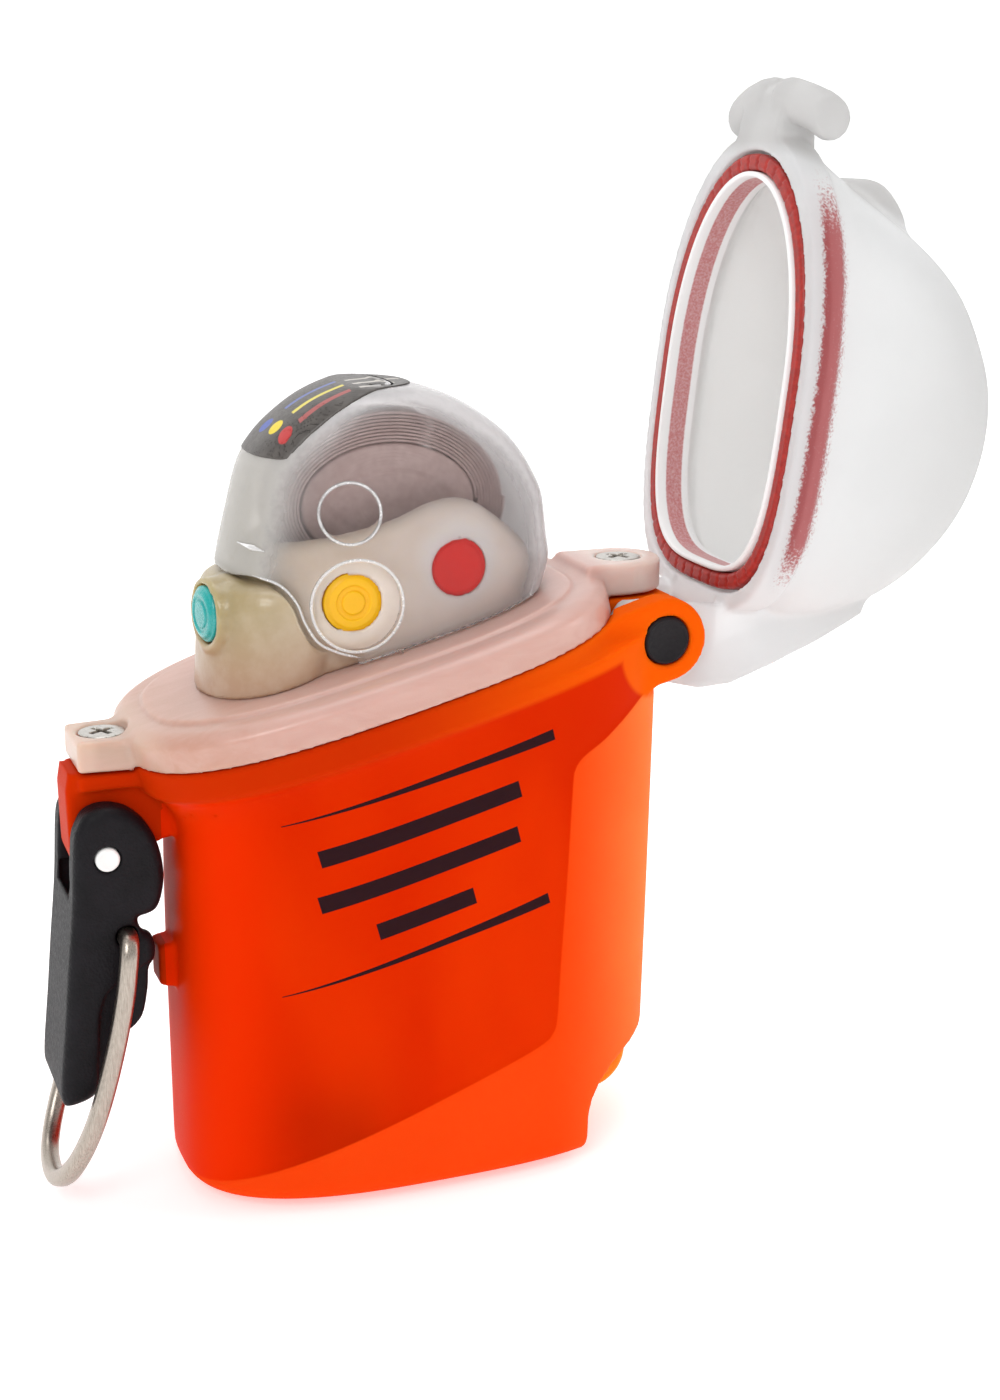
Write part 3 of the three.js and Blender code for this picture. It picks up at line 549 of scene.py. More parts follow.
def orange_mat():
    m, nt, b = new_mat("orange_housing")
    t = NT(nt)
    win = t.attr("win")
    x, z = t.axis(0), t.axis(2)
    big = t.noise(0.05, 3, 0.5)
    fine = t.noise(5.0, 2)
    # polished window: deep and slightly uneven, darker where the insides show
    cells = t.noise(0.06, 2, 0.5, 0.3, (1.0, 1.0, 0.5))
    deep = t.mix(t.ramp(cells, 0.3, 0.7), srgb(202, 36, 0), srgb(214, 47, 1))
    low = t.math("MULTIPLY", t.ramp(z, 3.0, 22.0, 1.0, 0.0), t.ramp(t.math("ABSOLUTE", t.math("SUBTRACT", x, -13.0)), 2.0, 13.0, 1.0, 0.0))
    deep = t.mix(t.math("MULTIPLY", low, t.ramp(t.noise(0.07, 1, 0.5, 0.0), 0.2, 0.8, 0.35, 0.80)), deep, srgb(158, 26, 1))
    deep = t.mix(t.ramp(x, -16.0, -26.0, 0.0, 0.8), deep, srgb(234, 46, 0))
    # painted shade: the window darkens towards the top, under the rim band
    high = t.ramp(z, 40.0, 52.0, 0.0, 0.45)
    deep = t.mix(high, deep, srgb(196, 36, 2))
    # frosted band; its lightening towards the right end is painted light, where light comes through the thin grazing
    # wall
    frost_and_edge_light = t.mix(t.ramp(x, 12.0, 29.0), srgb(232, 66, 12), srgb(246, 124, 60))
    frost_and_edge_light = t.mix(t.ramp(big, 0.35, 0.65, 0, 0.25), frost_and_edge_light, srgb(236, 74, 18))
    col = t.mix(t.ramp(win, -0.12, 0.12), deep, frost_and_edge_light)
    rim = t.attr("rim")
    col = t.mix(t.ramp(rim, -0.4, 0.4), col, t.mix(t.ramp(x, -10, 26), srgb(190, 44, 3), srgb(232, 88, 6)))
    ink = None
    for (x0, z0), (x1, z1), w0, w1 in MARKS:
        ln = math.hypot(x1 - x0, z1 - z0)
        cu, su = (x1 - x0) / ln, (z1 - z0) / ln
        u = t.math("ADD", t.math("MULTIPLY", t.math("SUBTRACT", x, x0), cu), t.math("MULTIPLY", t.math("SUBTRACT", z, z0), su))
        v = t.math("ADD", t.math("MULTIPLY", t.math("SUBTRACT", x, x0), -su), t.math("MULTIPLY", t.math("SUBTRACT", z, z0), cu))
        half = t.math("MULTIPLY_ADD", u, (w1 - w0) / ln / 2, w0 / 2)
        e = t.math("MAXIMUM", t.math("SUBTRACT", t.math("ABSOLUTE", v), half), t.math("MAXIMUM", t.math("SUBTRACT", u, ln), t.math("MULTIPLY", u, -1.0)))
        m_ = t.ramp(e, -0.04, 0.04, 1.0, 0.0)
        ink = m_ if ink is None else t.math("MAXIMUM", ink, m_)
    ink = t.math("MULTIPLY", ink, t.ramp(t.axis(1), -8.0, -7.5, 1.0, 0.0))
    worn = t.math("MULTIPLY", ink, t.ramp(t.noise(3.0, 4, 0.7), 0.70, 0.80, 1.0, 0.75))
    col = t.mix(worn, col, srgb(44, 24, 28))
    t.link(col, b.inputs["Base Color"])
    r = t.ramp(win, -0.12, 0.12, 0.42, 0.60)
    r = t.math("ADD", r, t.ramp(fine, 0.2, 0.8, -0.05, 0.05))
    t.link(r, b.inputs["Roughness"])
    grain = t.math("MULTIPLY", fine, t.ramp(win, -0.12, 0.12, 0.25, 1.0))
    t.link(t.bump(grain, 0.02), b.inputs["Normal"])
    b.inputs["Subsurface Weight"].default_value = 0.35
    b.inputs["Subsurface Radius"].default_value = (1.0, 0.30, 0.08)
    b.inputs["Subsurface Scale"].default_value = 3.0 * MM
    b.inputs["Specular IOR Level"].default_value = 0.02
    b.inputs["Specular Tint"].default_value = (1.0, 0.42, 0.16, 1.0)
    b.inputs["IOR"].default_value = 1.45
    return m


def cover_mat():
    m, nt, b = new_mat("frosted_cover")
    t = NT(nt)
    w = t.attr("w")
    x = t.axis(0)
    streak = t.noise(0.5, 4, 0.6, 0.6, (0.25, 1.0, 1.0))
    pink = t.mix(t.ramp(w, 0.0, 4.4), srgb(194, 149, 136), srgb(200, 162, 152))
    pink = t.mix(t.ramp(x, -14.0, -30.0, 0.0, 0.5), pink, srgb(182, 134, 104))
    # painted shade: the left boss is given a darker colour than the right one, to offset the key light falling on it
    pale = t.mix(t.ramp(x, -30.0, 24.0), srgb(206, 182, 162), srgb(222, 204, 194))
    # painted shade: a dark band down the left boss where the screw shank shows through it
    core = t.math("ABSOLUTE", t.math("SUBTRACT", x, SCREW_L[0] + 0.4))
    pale = t.mix(t.ramp(core, 1.2, 2.6, 0.35, 0.0), pale, srgb(150, 122, 106))
    boss = t.math("MAXIMUM", t.ramp(x, -27.5, -32.5), t.ramp(x, 21.0, 24.0))
    col = t.mix(t.math("MULTIPLY", boss, 0.75), pink, pale)
    col = t.mix(t.ramp(streak, 0.35, 0.7, 0, 0.35), col, srgb(210, 174, 164))
    t.link(col, b.inputs["Base Color"])
    fine = t.noise(5.0, 2)
    t.link(t.ramp(fine, 0.2, 0.8, 0.30, 0.42), b.inputs["Roughness"])
    t.link(t.bump(fine, 0.012), b.inputs["Normal"])
    b.inputs["Subsurface Weight"].default_value = 0.6
    b.inputs["Subsurface Radius"].default_value = (1.0, 0.55, 0.45)
    b.inputs["Subsurface Scale"].default_value = 2.5 * MM
    b.inputs["Coat Weight"].default_value = 0.2
    b.inputs["Coat Roughness"].default_value = 0.2
    return m


def boot_mat():
    m, nt, b = new_mat("milky_boot")
    t = NT(nt)
    x, z = t.axis(0), t.axis(2)
    # painted glow: the left of the boot takes a yellow-green cast from coloured light of the teal and yellow keys
    col = t.mix(t.ramp(x, -24.0, -8.0), srgb(160, 142, 96), srgb(188, 172, 152))
    near = t.mix(t.ramp(z, 55.0, 66.0), srgb(176, 138, 110), col)
    # painted light: much lighter where the clear cap lies over the boot, standing in for the light that the cap lets
    # through
    covered = t.math("MULTIPLY", t.attr("under"), 0.85)
    near = t.mix(covered, near, t.mix(t.ramp(x, -14.0, 6.0), srgb(246, 224, 206), srgb(238, 222, 216)))
    haze = t.noise(0.35, 4, 0.6)
    near = t.mix(t.ramp(haze, 0.35, 0.7, 0, 0.2), near, srgb(206, 190, 172))
    # painted highlight: a pale soft patch just above the red key, for the shine on the swelling there
    rd = t.math("SQRT", t.math("ADD", t.math("POWER", t.math("SUBTRACT", x, RED[0]), 2.0), t.math("POWER", t.math("SUBTRACT", z, RED[1] + 1.2), 2.0)))
    near = t.mix(t.math("MULTIPLY", t.ramp(rd, 3.0, 5.6, 1.0, 0.0), 0.6), near, srgb(244, 236, 232))
    t.link(near, b.inputs["Base Color"])
    fine = t.noise(4.5, 2)
    t.link(t.ramp(fine, 0.2, 0.8, 0.34, 0.46), b.inputs["Roughness"])
    t.link(t.bump(fine, 0.012), b.inputs["Normal"])
    b.inputs["Coat Weight"].default_value = 0.3
    b.inputs["Coat Roughness"].default_value = 0.12
    b.inputs["Subsurface Weight"].default_value = 0.7
    b.inputs["Subsurface Radius"].default_value = (1.0, 0.85, 0.65)
    b.inputs["Subsurface Scale"].default_value = 3.0 * MM
    return m


def clear_mat(name, color, rough, trans, rvary, bump_mm, ior=1.4, coat=0.0, glow_tint=None, milk_and_sheen_color=None):
    m, nt, b = new_mat(name)
    t = NT(nt)
    big = t.noise(0.10, 3)
    fine = t.noise(3.0, 3, 0.6)
    c = t.mix(t.ramp(big, 0.3, 0.7), scaled(color, 0.975), color)
    if name == "clear_lid":
        # painted shade on the lid: greyer towards the top of the dome, on the hinge plate, the bar and the fin
        c = t.mix(t.attr("grey"), c, (0.68, 0.672, 0.665))
        c = t.mix(t.attr("pale"), c, (0.93, 0.93, 0.915))
    if name == "clear_lid":
        b.inputs["Specular IOR Level"].default_value = 0.35
    if glow_tint:
        # painted glow: the red of the gasket seen through the clear plastic, laid on where the glow attribute is high,
        # speckled by noise
        g0 = 0.25 if trans else 0.06
        speckled_glow = t.math("ADD", t.attr("glow"), t.ramp(t.noise(3.5, 2), 0.25, 0.75, -g0, g0))
        c = t.mix(t.math("MULTIPLY", t.ramp(speckled_glow, 0.25, 0.85), 0.95), c, glow_tint)
    if milk_and_sheen_color:
        # milky where the wall turns away from the flat side: partly the cap's real frosting, partly a painted highlight
        # along the rounded shoulder
        milk_and_sheen = t.math("MULTIPLY", t.attr("haze"), t.ramp(t.noise(1.2, 4, 0.6), 0.25, 0.75, 0.8, 1.0))
        c = t.mix(milk_and_sheen, c, t.mix(t.ramp(t.axis(0), -19.0, -8.0), (0.60, 0.575, 0.53), milk_and_sheen_color))
        t.link(t.ramp(milk_and_sheen, 0.0, 1.0, trans, 0.42), b.inputs["Transmission Weight"])
    else:
        b.inputs["Transmission Weight"].default_value = trans
    t.link(c, b.inputs["Base Color"])
    t.link(t.ramp(fine, 0.2, 0.8, max(0.02, rough - rvary), rough + rvary), b.inputs["Roughness"])
    if bump_mm:
        t.link(t.bump(fine, bump_mm), b.inputs["Normal"])
    b.inputs["IOR"].default_value = ior
    b.inputs["Coat Weight"].default_value = coat
    b.inputs["Coat Roughness"].default_value = 0.25
    return m


def lever_mat():
    m, nt, b = new_mat("grained_black")
    t = NT(nt)
    v = t.voronoi(3.2)
    n = t.noise(2.2, 5, 0.65)
    base = t.mix(t.ramp(t.noise(0.3, 4), 0.3, 0.7), srgb(10, 8, 12), srgb(19, 16, 21))
    base = t.mix(t.ramp(t.noise(1.6, 7, 0.75), 0.68, 0.82, 0, 0.25), base, srgb(92, 88, 92))
    t.link(base, b.inputs["Base Color"])
    t.link(t.ramp(n, 0.2, 0.8, 0.44, 0.62), b.inputs["Roughness"])
    h = t.math("ADD", t.math("MULTIPLY", v, 0.6), n)
    t.link(t.bump(h, 0.05), b.inputs["Normal"])
    b.inputs["Specular IOR Level"].default_value = 0.18
    return m


def bail_mat():
    m, nt, b = new_mat("stainless_wire")
    t = NT(nt)
    fine = t.noise(1.6, 6, 0.7, 0.0, (6.0, 6.0, 0.35))
    col = t.mix(t.ramp(fine, 0.3, 0.7), srgb(150, 140, 130), srgb(190, 180, 169))
    t.link(col, b.inputs["Base Color"])
    t.link(t.ramp(fine, 0.25, 0.75, 0.24, 0.38), b.inputs["Roughness"])
    t.link(t.bump(fine, 0.012), b.inputs["Normal"])
    b.inputs["Metallic"].default_value = 1.0
    return m


def steel_mat(name, a, c, r0, r1, per=2.0):
    m, nt, b = new_mat(name)
    t = NT(nt)
    n = t.noise(per, 5, 0.7)
    t.link(t.mix(t.ramp(n, 0.3, 0.7), a, c), b.inputs["Base Color"])
    t.link(t.ramp(n, 0.25, 0.75, r0, r1), b.inputs["Roughness"])
    t.link(t.bump(n, 0.015), b.inputs["Normal"])
    b.inputs["Metallic"].default_value = 1.0
    return m


def gasket_mat():
    m, nt, b = new_mat("red_gasket")
    t = NT(nt)
    n = t.noise(1.5, 5, 0.65)
    t.link(t.mix(t.ramp(n, 0.35, 0.7), srgb(150, 26, 18), srgb(178, 42, 32)), b.inputs["Base Color"])
    t.link(t.ramp(n, 0.2, 0.8, 0.38, 0.55), b.inputs["Roughness"])
    t.link(t.bump(n, 0.03), b.inputs["Normal"])
    b.inputs["Subsurface Weight"].default_value = 0.15
    b.inputs["Subsurface Radius"].default_value = (1, 0.2, 0.15)
    b.inputs["Subsurface Scale"].default_value = 1.0 * MM
    return m


def tape_mat():
    m, nt, b = new_mat("wound_tape")
    t = NT(nt)
    x, z = t.axis(0), t.axis(2)
    r = t.math("POWER", t.math("ADD", t.math("POWER", t.math("DIVIDE", t.math("ADD", x, 2.0), 13.2), 2.0),
                               t.math("POWER", t.math("DIVIDE", t.math("SUBTRACT", z, 74.9), 10.1), 2.0)), 0.5)
    lines = t.math("FRACT", t.math("MULTIPLY", r, 26.0))
    cloud = t.noise(0.9, 6, 0.7)
    col = t.mix(t.ramp(cloud, 0.3, 0.7), srgb(196, 168, 164), srgb(214, 190, 186))
    col = t.mix(t.ramp(lines, 0.0, 0.35, 0.10, 0.0), col, srgb(184, 154, 152))
    t.link(col, b.inputs["Base Color"])
    b.inputs["Roughness"].default_value = 0.6
    t.link(t.ramp(cloud, 0.2, 0.8, 0.5, 0.7), b.inputs["Roughness"])
    t.link(t.bump(t.math("ADD", lines, cloud), 0.04), b.inputs["Normal"])
    return m


def label_mat():
    """Dark film with plain coloured marks and bars, no lettering."""
    m, nt, b = new_mat("label_film")
    t = NT(nt)
    x = t.axis(0)
    y = t.axis(1)
    base = t.mix(t.ramp(t.noise(0.8, 4), 0.3, 0.7), srgb(74, 69, 66), srgb(88, 83, 79))

    def rows(y0, y1, x0, x1, color, per, into):
        inside = t.math("MULTIPLY", t.ramp(y, y0 - 0.06, y0 + 0.06), t.ramp(y, y1 - 0.06, y1 + 0.06, 1.0, 0.0))
        inside = t.math("MULTIPLY", inside, t.math("MULTIPLY", t.ramp(x, x0 - 0.06, x0 + 0.06), t.ramp(x, x1 - 0.06, x1 + 0.06, 1.0, 0.0)))
        return t.mix(inside, into, color)

    def dot(cx, cy, rx, ry, color, into):
        d = t.math("ADD", t.math("POWER", t.math("DIVIDE", t.math("SUBTRACT", x, cx), rx), 2.0),
                   t.math("POWER", t.math("DIVIDE", t.math("SUBTRACT", y, cy), ry), 2.0))
        return t.mix(t.ramp(d, 0.85, 1.1, 1.0, 0.0), into, color)

    c = base
    c = dot(-14.3, 0.2, 0.75, 1.0, srgb(70, 90, 170), c)
    c = dot(-14.0, -2.6, 0.75, 1.0, srgb(230, 205, 40), c)
    c = dot(-13.7, -5.2, 0.75, 0.9, srgb(190, 60, 60), c)
    for y0, col in ((-0.25, srgb(96, 110, 170)), (-3.1, srgb(222, 205, 90)), (-5.6, srgb(170, 90, 88))):
        c = rows(y0, y0 + 0.75, -12.2, -6.6, col, 1, c)
        c = rows(y0, y0 + 0.75, -5.6, {-0.25: 0.4, -3.1: -1.0, -5.6: -3.2}[y0], srgb(196, 190, 182), 1, c)
    t.link(c, b.inputs["Base Color"])
    n = t.noise(3.0, 4)
    t.link(t.ramp(n, 0.2, 0.8, 0.32, 0.46), b.inputs["Roughness"])
    t.link(t.bump(n, 0.01), b.inputs["Normal"])
    return m


M_ORANGE = orange_mat()
M_COVER = cover_mat()
M_BOOT = boot_mat()
M_LID = clear_mat("clear_lid", (0.88, 0.885, 0.89), 0.44, 0.42, 0.05, 0.0, 1.3, 0.0, srgb(176, 74, 76))
M_WALL = clear_mat("clear_wall", (0.90, 0.90, 0.90), 0.35, 0.0, 0.05, 0.004, 1.3, 0.0, srgb(186, 84, 86))
M_CAP = clear_mat("clear_cap", (0.955, 0.94, 0.935), 0.20, 0.985, 0.05, 0.004, 1.15, 0.0, None, (0.79, 0.765, 0.77))
# milky lips and rib on the cap: small raised mouldings whose milky white also stands in for the highlights on those
# edges (painted highlight)
M_LIP_HIGHLIGHT = clear_mat("moulded_lip_highlight", (0.88, 0.87, 0.87), 0.25, 0.38, 0.05, 0.004, 1.3)
M_LEVER = lever_mat()
M_BAIL = bail_mat()
M_GASKET = gasket_mat()
M_TAPE = tape_mat()
M_LABEL = label_mat()
M_EYE = plastic("bright_eye", srgb(255, 134, 4), 0.3, 0.05, 0.006, sss=0.5, radius=(1, 0.4, 0.1), spec=0.2)
M_PIN = plastic("dark_pin", srgb(24, 20, 23), 0.6, 0.12, 0.05, 2.5, wear=0.12, spec=0.25)
M_WHITE = plastic("white_pin", srgb(238, 238, 236), 0.42, 0.04, 0.01, sss=0.1)
M_YELLOW = plastic("yellow_key", srgb(244, 184, 1), 0.42, 0.05, 0.010, sss=0.4, radius=(1, 0.7, 0.1), sss_mm=1.5)
M_RED = plastic("red_key", srgb(232, 22, 10), 0.40, 0.06, 0.010, sss=0.3, radius=(1, 0.2, 0.15), sss_mm=1.5, spec=0.15)
M_TEAL = plastic("teal_key", srgb(22, 160, 156), 0.26, 0.08, 0.006, sss=0.4, radius=(0.3, 1, 0.9), sss_mm=1.5, coat=0.4)
M_SCREW = steel_mat("screw_steel", srgb(176, 172, 166), srgb(208, 204, 198), 0.22, 0.42)
M_BRASS = steel_mat("insert_brass", srgb(190, 150, 70), srgb(214, 176, 92), 0.25, 0.45)
M_CONTACT = steel_mat("contact_sheet", srgb(198, 176, 120), srgb(220, 200, 146), 0.25, 0.4)
M_CAN = steel_mat("shield_can", srgb(176, 180, 184), srgb(200, 203, 206), 0.28, 0.42, 0.8)
M_SEAL = plastic("black_seal", srgb(34, 34, 36), 0.6, 0.1, 0.02)
M_SWITCH = plastic("switch_black", srgb(44, 44, 46), 0.45, 0.1, 0.01)
M_BOARD = plastic("green_board", srgb(40, 92, 58), 0.35, 0.15, 0.02, 2.0, coat=0.3)
M_HUB = plastic("hub_plastic", srgb(168, 154, 158), 0.5, 0.06, 0.02, 1.2)
M_PATCH = plastic("ceramic_patch", srgb(206, 188, 156), 0.3, 0.05, 0.01)
M_LED = plastic("clear_led", srgb(246, 244, 222), 0.15, 0.03, 0.0, trans=0.4)
M_CELL = plastic("cell_wrap", srgb(52, 46, 44), 0.35, 0.12, 0.01, 1.5, coat=0.3)
M_CRADLE = plastic("cradle_black", srgb(60, 60, 62), 0.55, 0.08, 0.02)
M_SPRING = steel_mat("spring_wire", srgb(186, 180, 170), srgb(214, 208, 198), 0.2, 0.35)

# ------------------------------------------------------------------ lower housing
BODY = [
    ((-27.25, -1.0), (27.55, -1.0), 15.75), ((-27.25, 2.2), (27.6, 2.2), 15.8), ((-27.2, 14.0), (27.82, 14.0), 16.3),
    ((-27.1, 28.0), (28.1, 28.0), 16.9), ((-26.6, 46.0), (28.5, 46.0), 17.2), ((-26.1, 66.0), (28.9, 66.0), 17.5)]
NOTCH = [(17.3, -3), (17.3, 1.5), (17.4, 4.4), (17.8, 6.3), (18.9, 8.2), (20.6, 9.9), (22.7, 11.0), (25.2, 12.0), (31, 13.2)]
WINDOW = opened([(32.5, 60.0), (31.6, 57.2), (29.0, 55.9), (26.0, 54.6), (23.2, 52.9), (20.6, 51.2), (18.1, 49.6), (15.6, 48.3), (14.45, 47.0), (14.15, 44.9), (13.6, 34.7), (13.0, 25.4),
                 (12.7, 18.3), (12.2, 16.3), (10.7, 15.1), (5.3, 13.0), (-6.3, 8.7), (-16.6, 5.0), (-24.3, 2.2), (-34.0, -1.4)], 6)
WINDOW = WINDOW + [(-60, -1.4), (-60, 60)]


def housing():
    g = Grid(-39.2, 33.2, -18.8, 18.8, -1.2, 65.2, 0.4)
    rings = [ring(L, R, b) for L, R, b in BODY]
    f, _, _ = loft(g, rings, 4)
    # the polished window lies a little below the textured skin
    wd = np.clip(0.5 - poly(g.X, g.Z, WINDOW) / 0.5, 0, 1)
    f = f + (0.17 * wd * wd * (3 - 2 * wd))[:, None, :]
    bottom = -g.Z3
    F = smax(f, bottom, 2.2)
    F = smax(F, plane(g, -2.2), 0.3)
    # rim band
    band, lo, hi = loft(g, [slant(24.6, 15.0, -10.4, 0.5), slant(26.0, 16.4, -5.6), slant(26.6, 16.9, -4.4), slant(27.3, 17.4, -3.75), slant(27.7, 17.75, -3.45),
                            slant(RIM_A, RIM_B, -3.1), slant(RIM_A, RIM_B, -0.15)], 5)
    B = smax(smax(band, lo, 0.3), hi, 0.35)
    F = smin(F, B, 0.9)
    F = smax(F, plane(g, -0.15), 0.2)
    # ears
    a0, a1 = math.radians(108), math.radians(-78)
    arc = [(HINGE[0] + EAR_R * math.cos(a0 + (a1 - a0) * i / 24), HINGE[1] + EAR_R * math.sin(a0 + (a1 - a0) * i / 24)) for i in range(25)]
    lead = [(9, 56.0), (12.5, 57.7), (15.5, 59.4), (18.6, 61.0), (22.0, 62.6)]
    tail = [(26.2, 54.1), (23.5, 52.6), (20.5, 51.4), (15.0, 50.6), (9, 50.0)]
    E = poly(g.X, g.Z, lead + arc + tail)
    for y0, y1 in ((8.6, 12.2), (-12.2, -8.6)):
        F = smin(F, ext(g, E, y0, y1, 0.45), 0.8)
    F = smin(F, plate(g, [(18, 52), (27, 50), (30.9, 55.2), (30.9, 62.5), (18, 62.5)], -4.9, 4.9, 0.5), 0.6)
    # latch lug and the shelf under the screw boss
    F = smin(F, plate(g, [(-36.7, 46.6), (-25, 46.6), (-25, 48.3), (-36.7, 48.3)], -4.1, 4.1, 0.3), 0.6)
    F = smin(F, plate(g, [(-37.5, 49.0), (-38.0, 46.5), (-37.9, 39.6), (-37.2, 37.6), (-35.2, 36.7), (-32.2, 37.4), (-30.2, 39.4), (-26, 40.6), (-26, 48.3), (-37.35, 48.3)], -3.1, 3.1, 0.45), 0.8)
    F = smin(F, plate(g, [(-28.8, 22.9), (-26, 22.2), (-26, 27.8), (-28.8, 27.5)], -2.2, 2.2, 0.4), 0.4)
    # notch for the eye, walled inside
    nd = poly(g.X, g.Z, NOTCH + [(31, -3)])
    F = smax(F, -ext(g, nd, -40, 40, 0), 0.5)
    # top envelope of the cover
    cov, lo, hi = loft(g, [slant(RIM_A + 0.3, RIM_B + 0.3, -0.15), slant(RIM_A + 0.3, RIM_B + 0.3, 9)], 2)
    F = np.maximum(F, -np.maximum(cov, -plane(g, -0.12)))
    # cavity
    cav, _, _ = loft(g, [ring(L, R, b) for L, R, b in [((L[0] + 1.9, L[1]), (R[0] - 1.9, R[1]), b - 1.9) for L, R, b in BODY]], 4)
    C = smax(smax(cav, 1.9 - g.Z3, 2.0), plane(g, -4.4), 0.2)
    C = smax(C, (1.9 - nd)[:, None, :], 0.8)
    mouth, lo, hi = loft(g, [slant(24.0, 14.4, -9.5, 0.6), slant(25.9, 15.9, -4.2), slant(25.9, 15.9, 3)], 3)
    C = np.minimum(C, np.maximum(mouth, lo))
    F = smax(F, -C, 0.2)
    # hinge gaps and bores
    for y0, y1 in ((-8.5, -5.0), (5.0, 8.5)):
        F = smax(F, -rod_y(g, HINGE[0], HINGE[1], 6.3, y0, y1), 0.3)
    bore = np.maximum(rod_y(g, HINGE[0], HINGE[1], HINGE_R + 0.12, -13, 13), 5.3 - np.abs(g.Y))
    F = smax(F, -bore, 0.25)
    F = smax(F, -rod_y(g, LATCH[0], LATCH[1], 1.45, -13, 13), 0.2)
    F = np.maximum(F, -rod_z(g, SCREW_L[0], 0, 2.15, 42.6, 49))
    F = np.maximum(F, -rod_z(g, SCREW_R[0], 0, 2.15, 55.5, 63))

    def attrs(P):
        x, y, z = P.T
        w = (x - RIM[0]) * -ST + (z - RIM[1]) * CT
        win = poly(x, z, WINDOW)
        win = np.where(y < 0, win, poly(x, z, WINDOW))
        out = np.hypot(x - HINGE[0], z - HINGE[1]) - 6.6
        rim = np.maximum(w + 3.7, -out)
        rim = np.where(x < -27.9, 1.0, rim)
        return {"win": win, "rim": rim}

    return field_piece("housing_shell", g, F, "housing", M_ORANGE, "lower_housing", attrs=attrs)


housing()


# ------------------------------------------------------------------ lanyard eye
def eye():
    g = Grid(16.6, 28.2, -3.6, 3.6, 1.0, 12.4, 0.16)
    F = rod_y(g, 22.3, 6.5, 4.8, -2.6, 2.6, 0.7)
    F = smax(F, -rod_y(g, 22.4, 6.3, 2.5, -9, 9), 0.5)
    nd = poly(g.X, g.Z, [(x + 0.25, z - 0.2) for x, z in NOTCH] + [(31.2, -3.2)])
    F = smax(F, nd[:, None, :], 0.3)
    field_piece("lanyard_eye_moulding", g, F, "housing", M_EYE, "lanyard_eye")


eye()


# ------------------------------------------------------------------ top cover
def cover():
    g = Grid(-37.9, 32.4, -18.8, 18.8, 47.0, 67.6, 0.33)
    f, lo, hi = loft(g, [slant(RIM_A, RIM_B, 0.15), slant(RIM_A, RIM_B, 2.6), slant(RIM_A - 0.5, RIM_B - 0.5, 3.6), slant(RIM_A - 0.9, RIM_B - 0.9, 5.0)], 4)
    F = smax(smax(f, -plane(g, -0.10), 0.12), plane(g, COVER_T - 0.45), 1.6)
    pl, lo, hi = loft(g, [slant(RIM_A - 3.0, RIM_B - 3.0, 1.0), slant(RIM_A - 3.6, RIM_B - 3.6, 6.0)], 2)
    F = smin(F, smax(pl, plane(g, COVER_T), 0.45), 0.25)
    # bosses
    left = [(-36.7, -4.1), (-24, -5.4), (-24, 5.4), (-36.7, 4.1)]
    right = [(20.6, -4.9), (26.6, -4.9)] + [(26.4 + 4.75 * math.sin(t), -4.75 * math.cos(t)) for t in np.linspace(0, math.pi, 25)] + [(20.6, 4.9)]
    for pts, z0, z1 in ((left, 48.65, 52.06), (right, 62.85, 66.5)):
        XX, YY = np.meshgrid(g.x, g.y, indexing="ij")
        d = poly(XX, YY, pts)[:, :, None]
        r = 0.45
        a, b = d + r, np.abs(g.Z3 - (z0 + z1) / 2) - (z1 - z0) / 2 + r
        S = np.minimum(np.maximum(a, b), 0) + np.hypot(np.maximum(a, 0), np.maximum(b, 0)) - r
        F = smin(F, S, 0.9)
    env, lo, hi = loft(g, [slant(RIM_A + 0.3, RIM_B + 0.3, -9), slant(RIM_A + 0.3, RIM_B + 0.3, 1)], 2)
    F = np.maximum(F, -np.maximum(env, plane(g, -0.10)))
    spig, lo, hi = loft(g, [slant(24.4, 14.4, -6), slant(24.4, 14.4, 1)], 2)
    F = np.minimum(F, np.maximum(np.maximum(spig, -plane(g, -3.9)), plane(g, 1)))
    well, lo, hi = loft(g, [slant(22.6, 12.6, -6), slant(22.6, 12.6, 2)], 2)
    F = np.maximum(F, -np.maximum(well, plane(g, 1.7)))
    hole, lo, hi = loft(g, [slant(17.4, 7.2, -6, -0.4), slant(17.4, 7.2, 7, -0.4)], 2)
    F = np.maximum(F, -hole)
    for x, z in (SCREW_L, SCREW_R):
        r = np.hypot(g.X3 - x, g.Y)
        cone = r - np.clip(1.7 + (g.Z3 - (z - 2.15)) * 0.5, 1.62, 2.78)
        F = smax(F, -cone, 0.15)
    field_piece("cover_moulding", g, F, "housing", M_COVER, "top_cover",
                attrs=lambda P: {"w": (P[:, 0] - RIM[0]) * -ST + (P[:, 2] - RIM[1]) * CT})


cover()


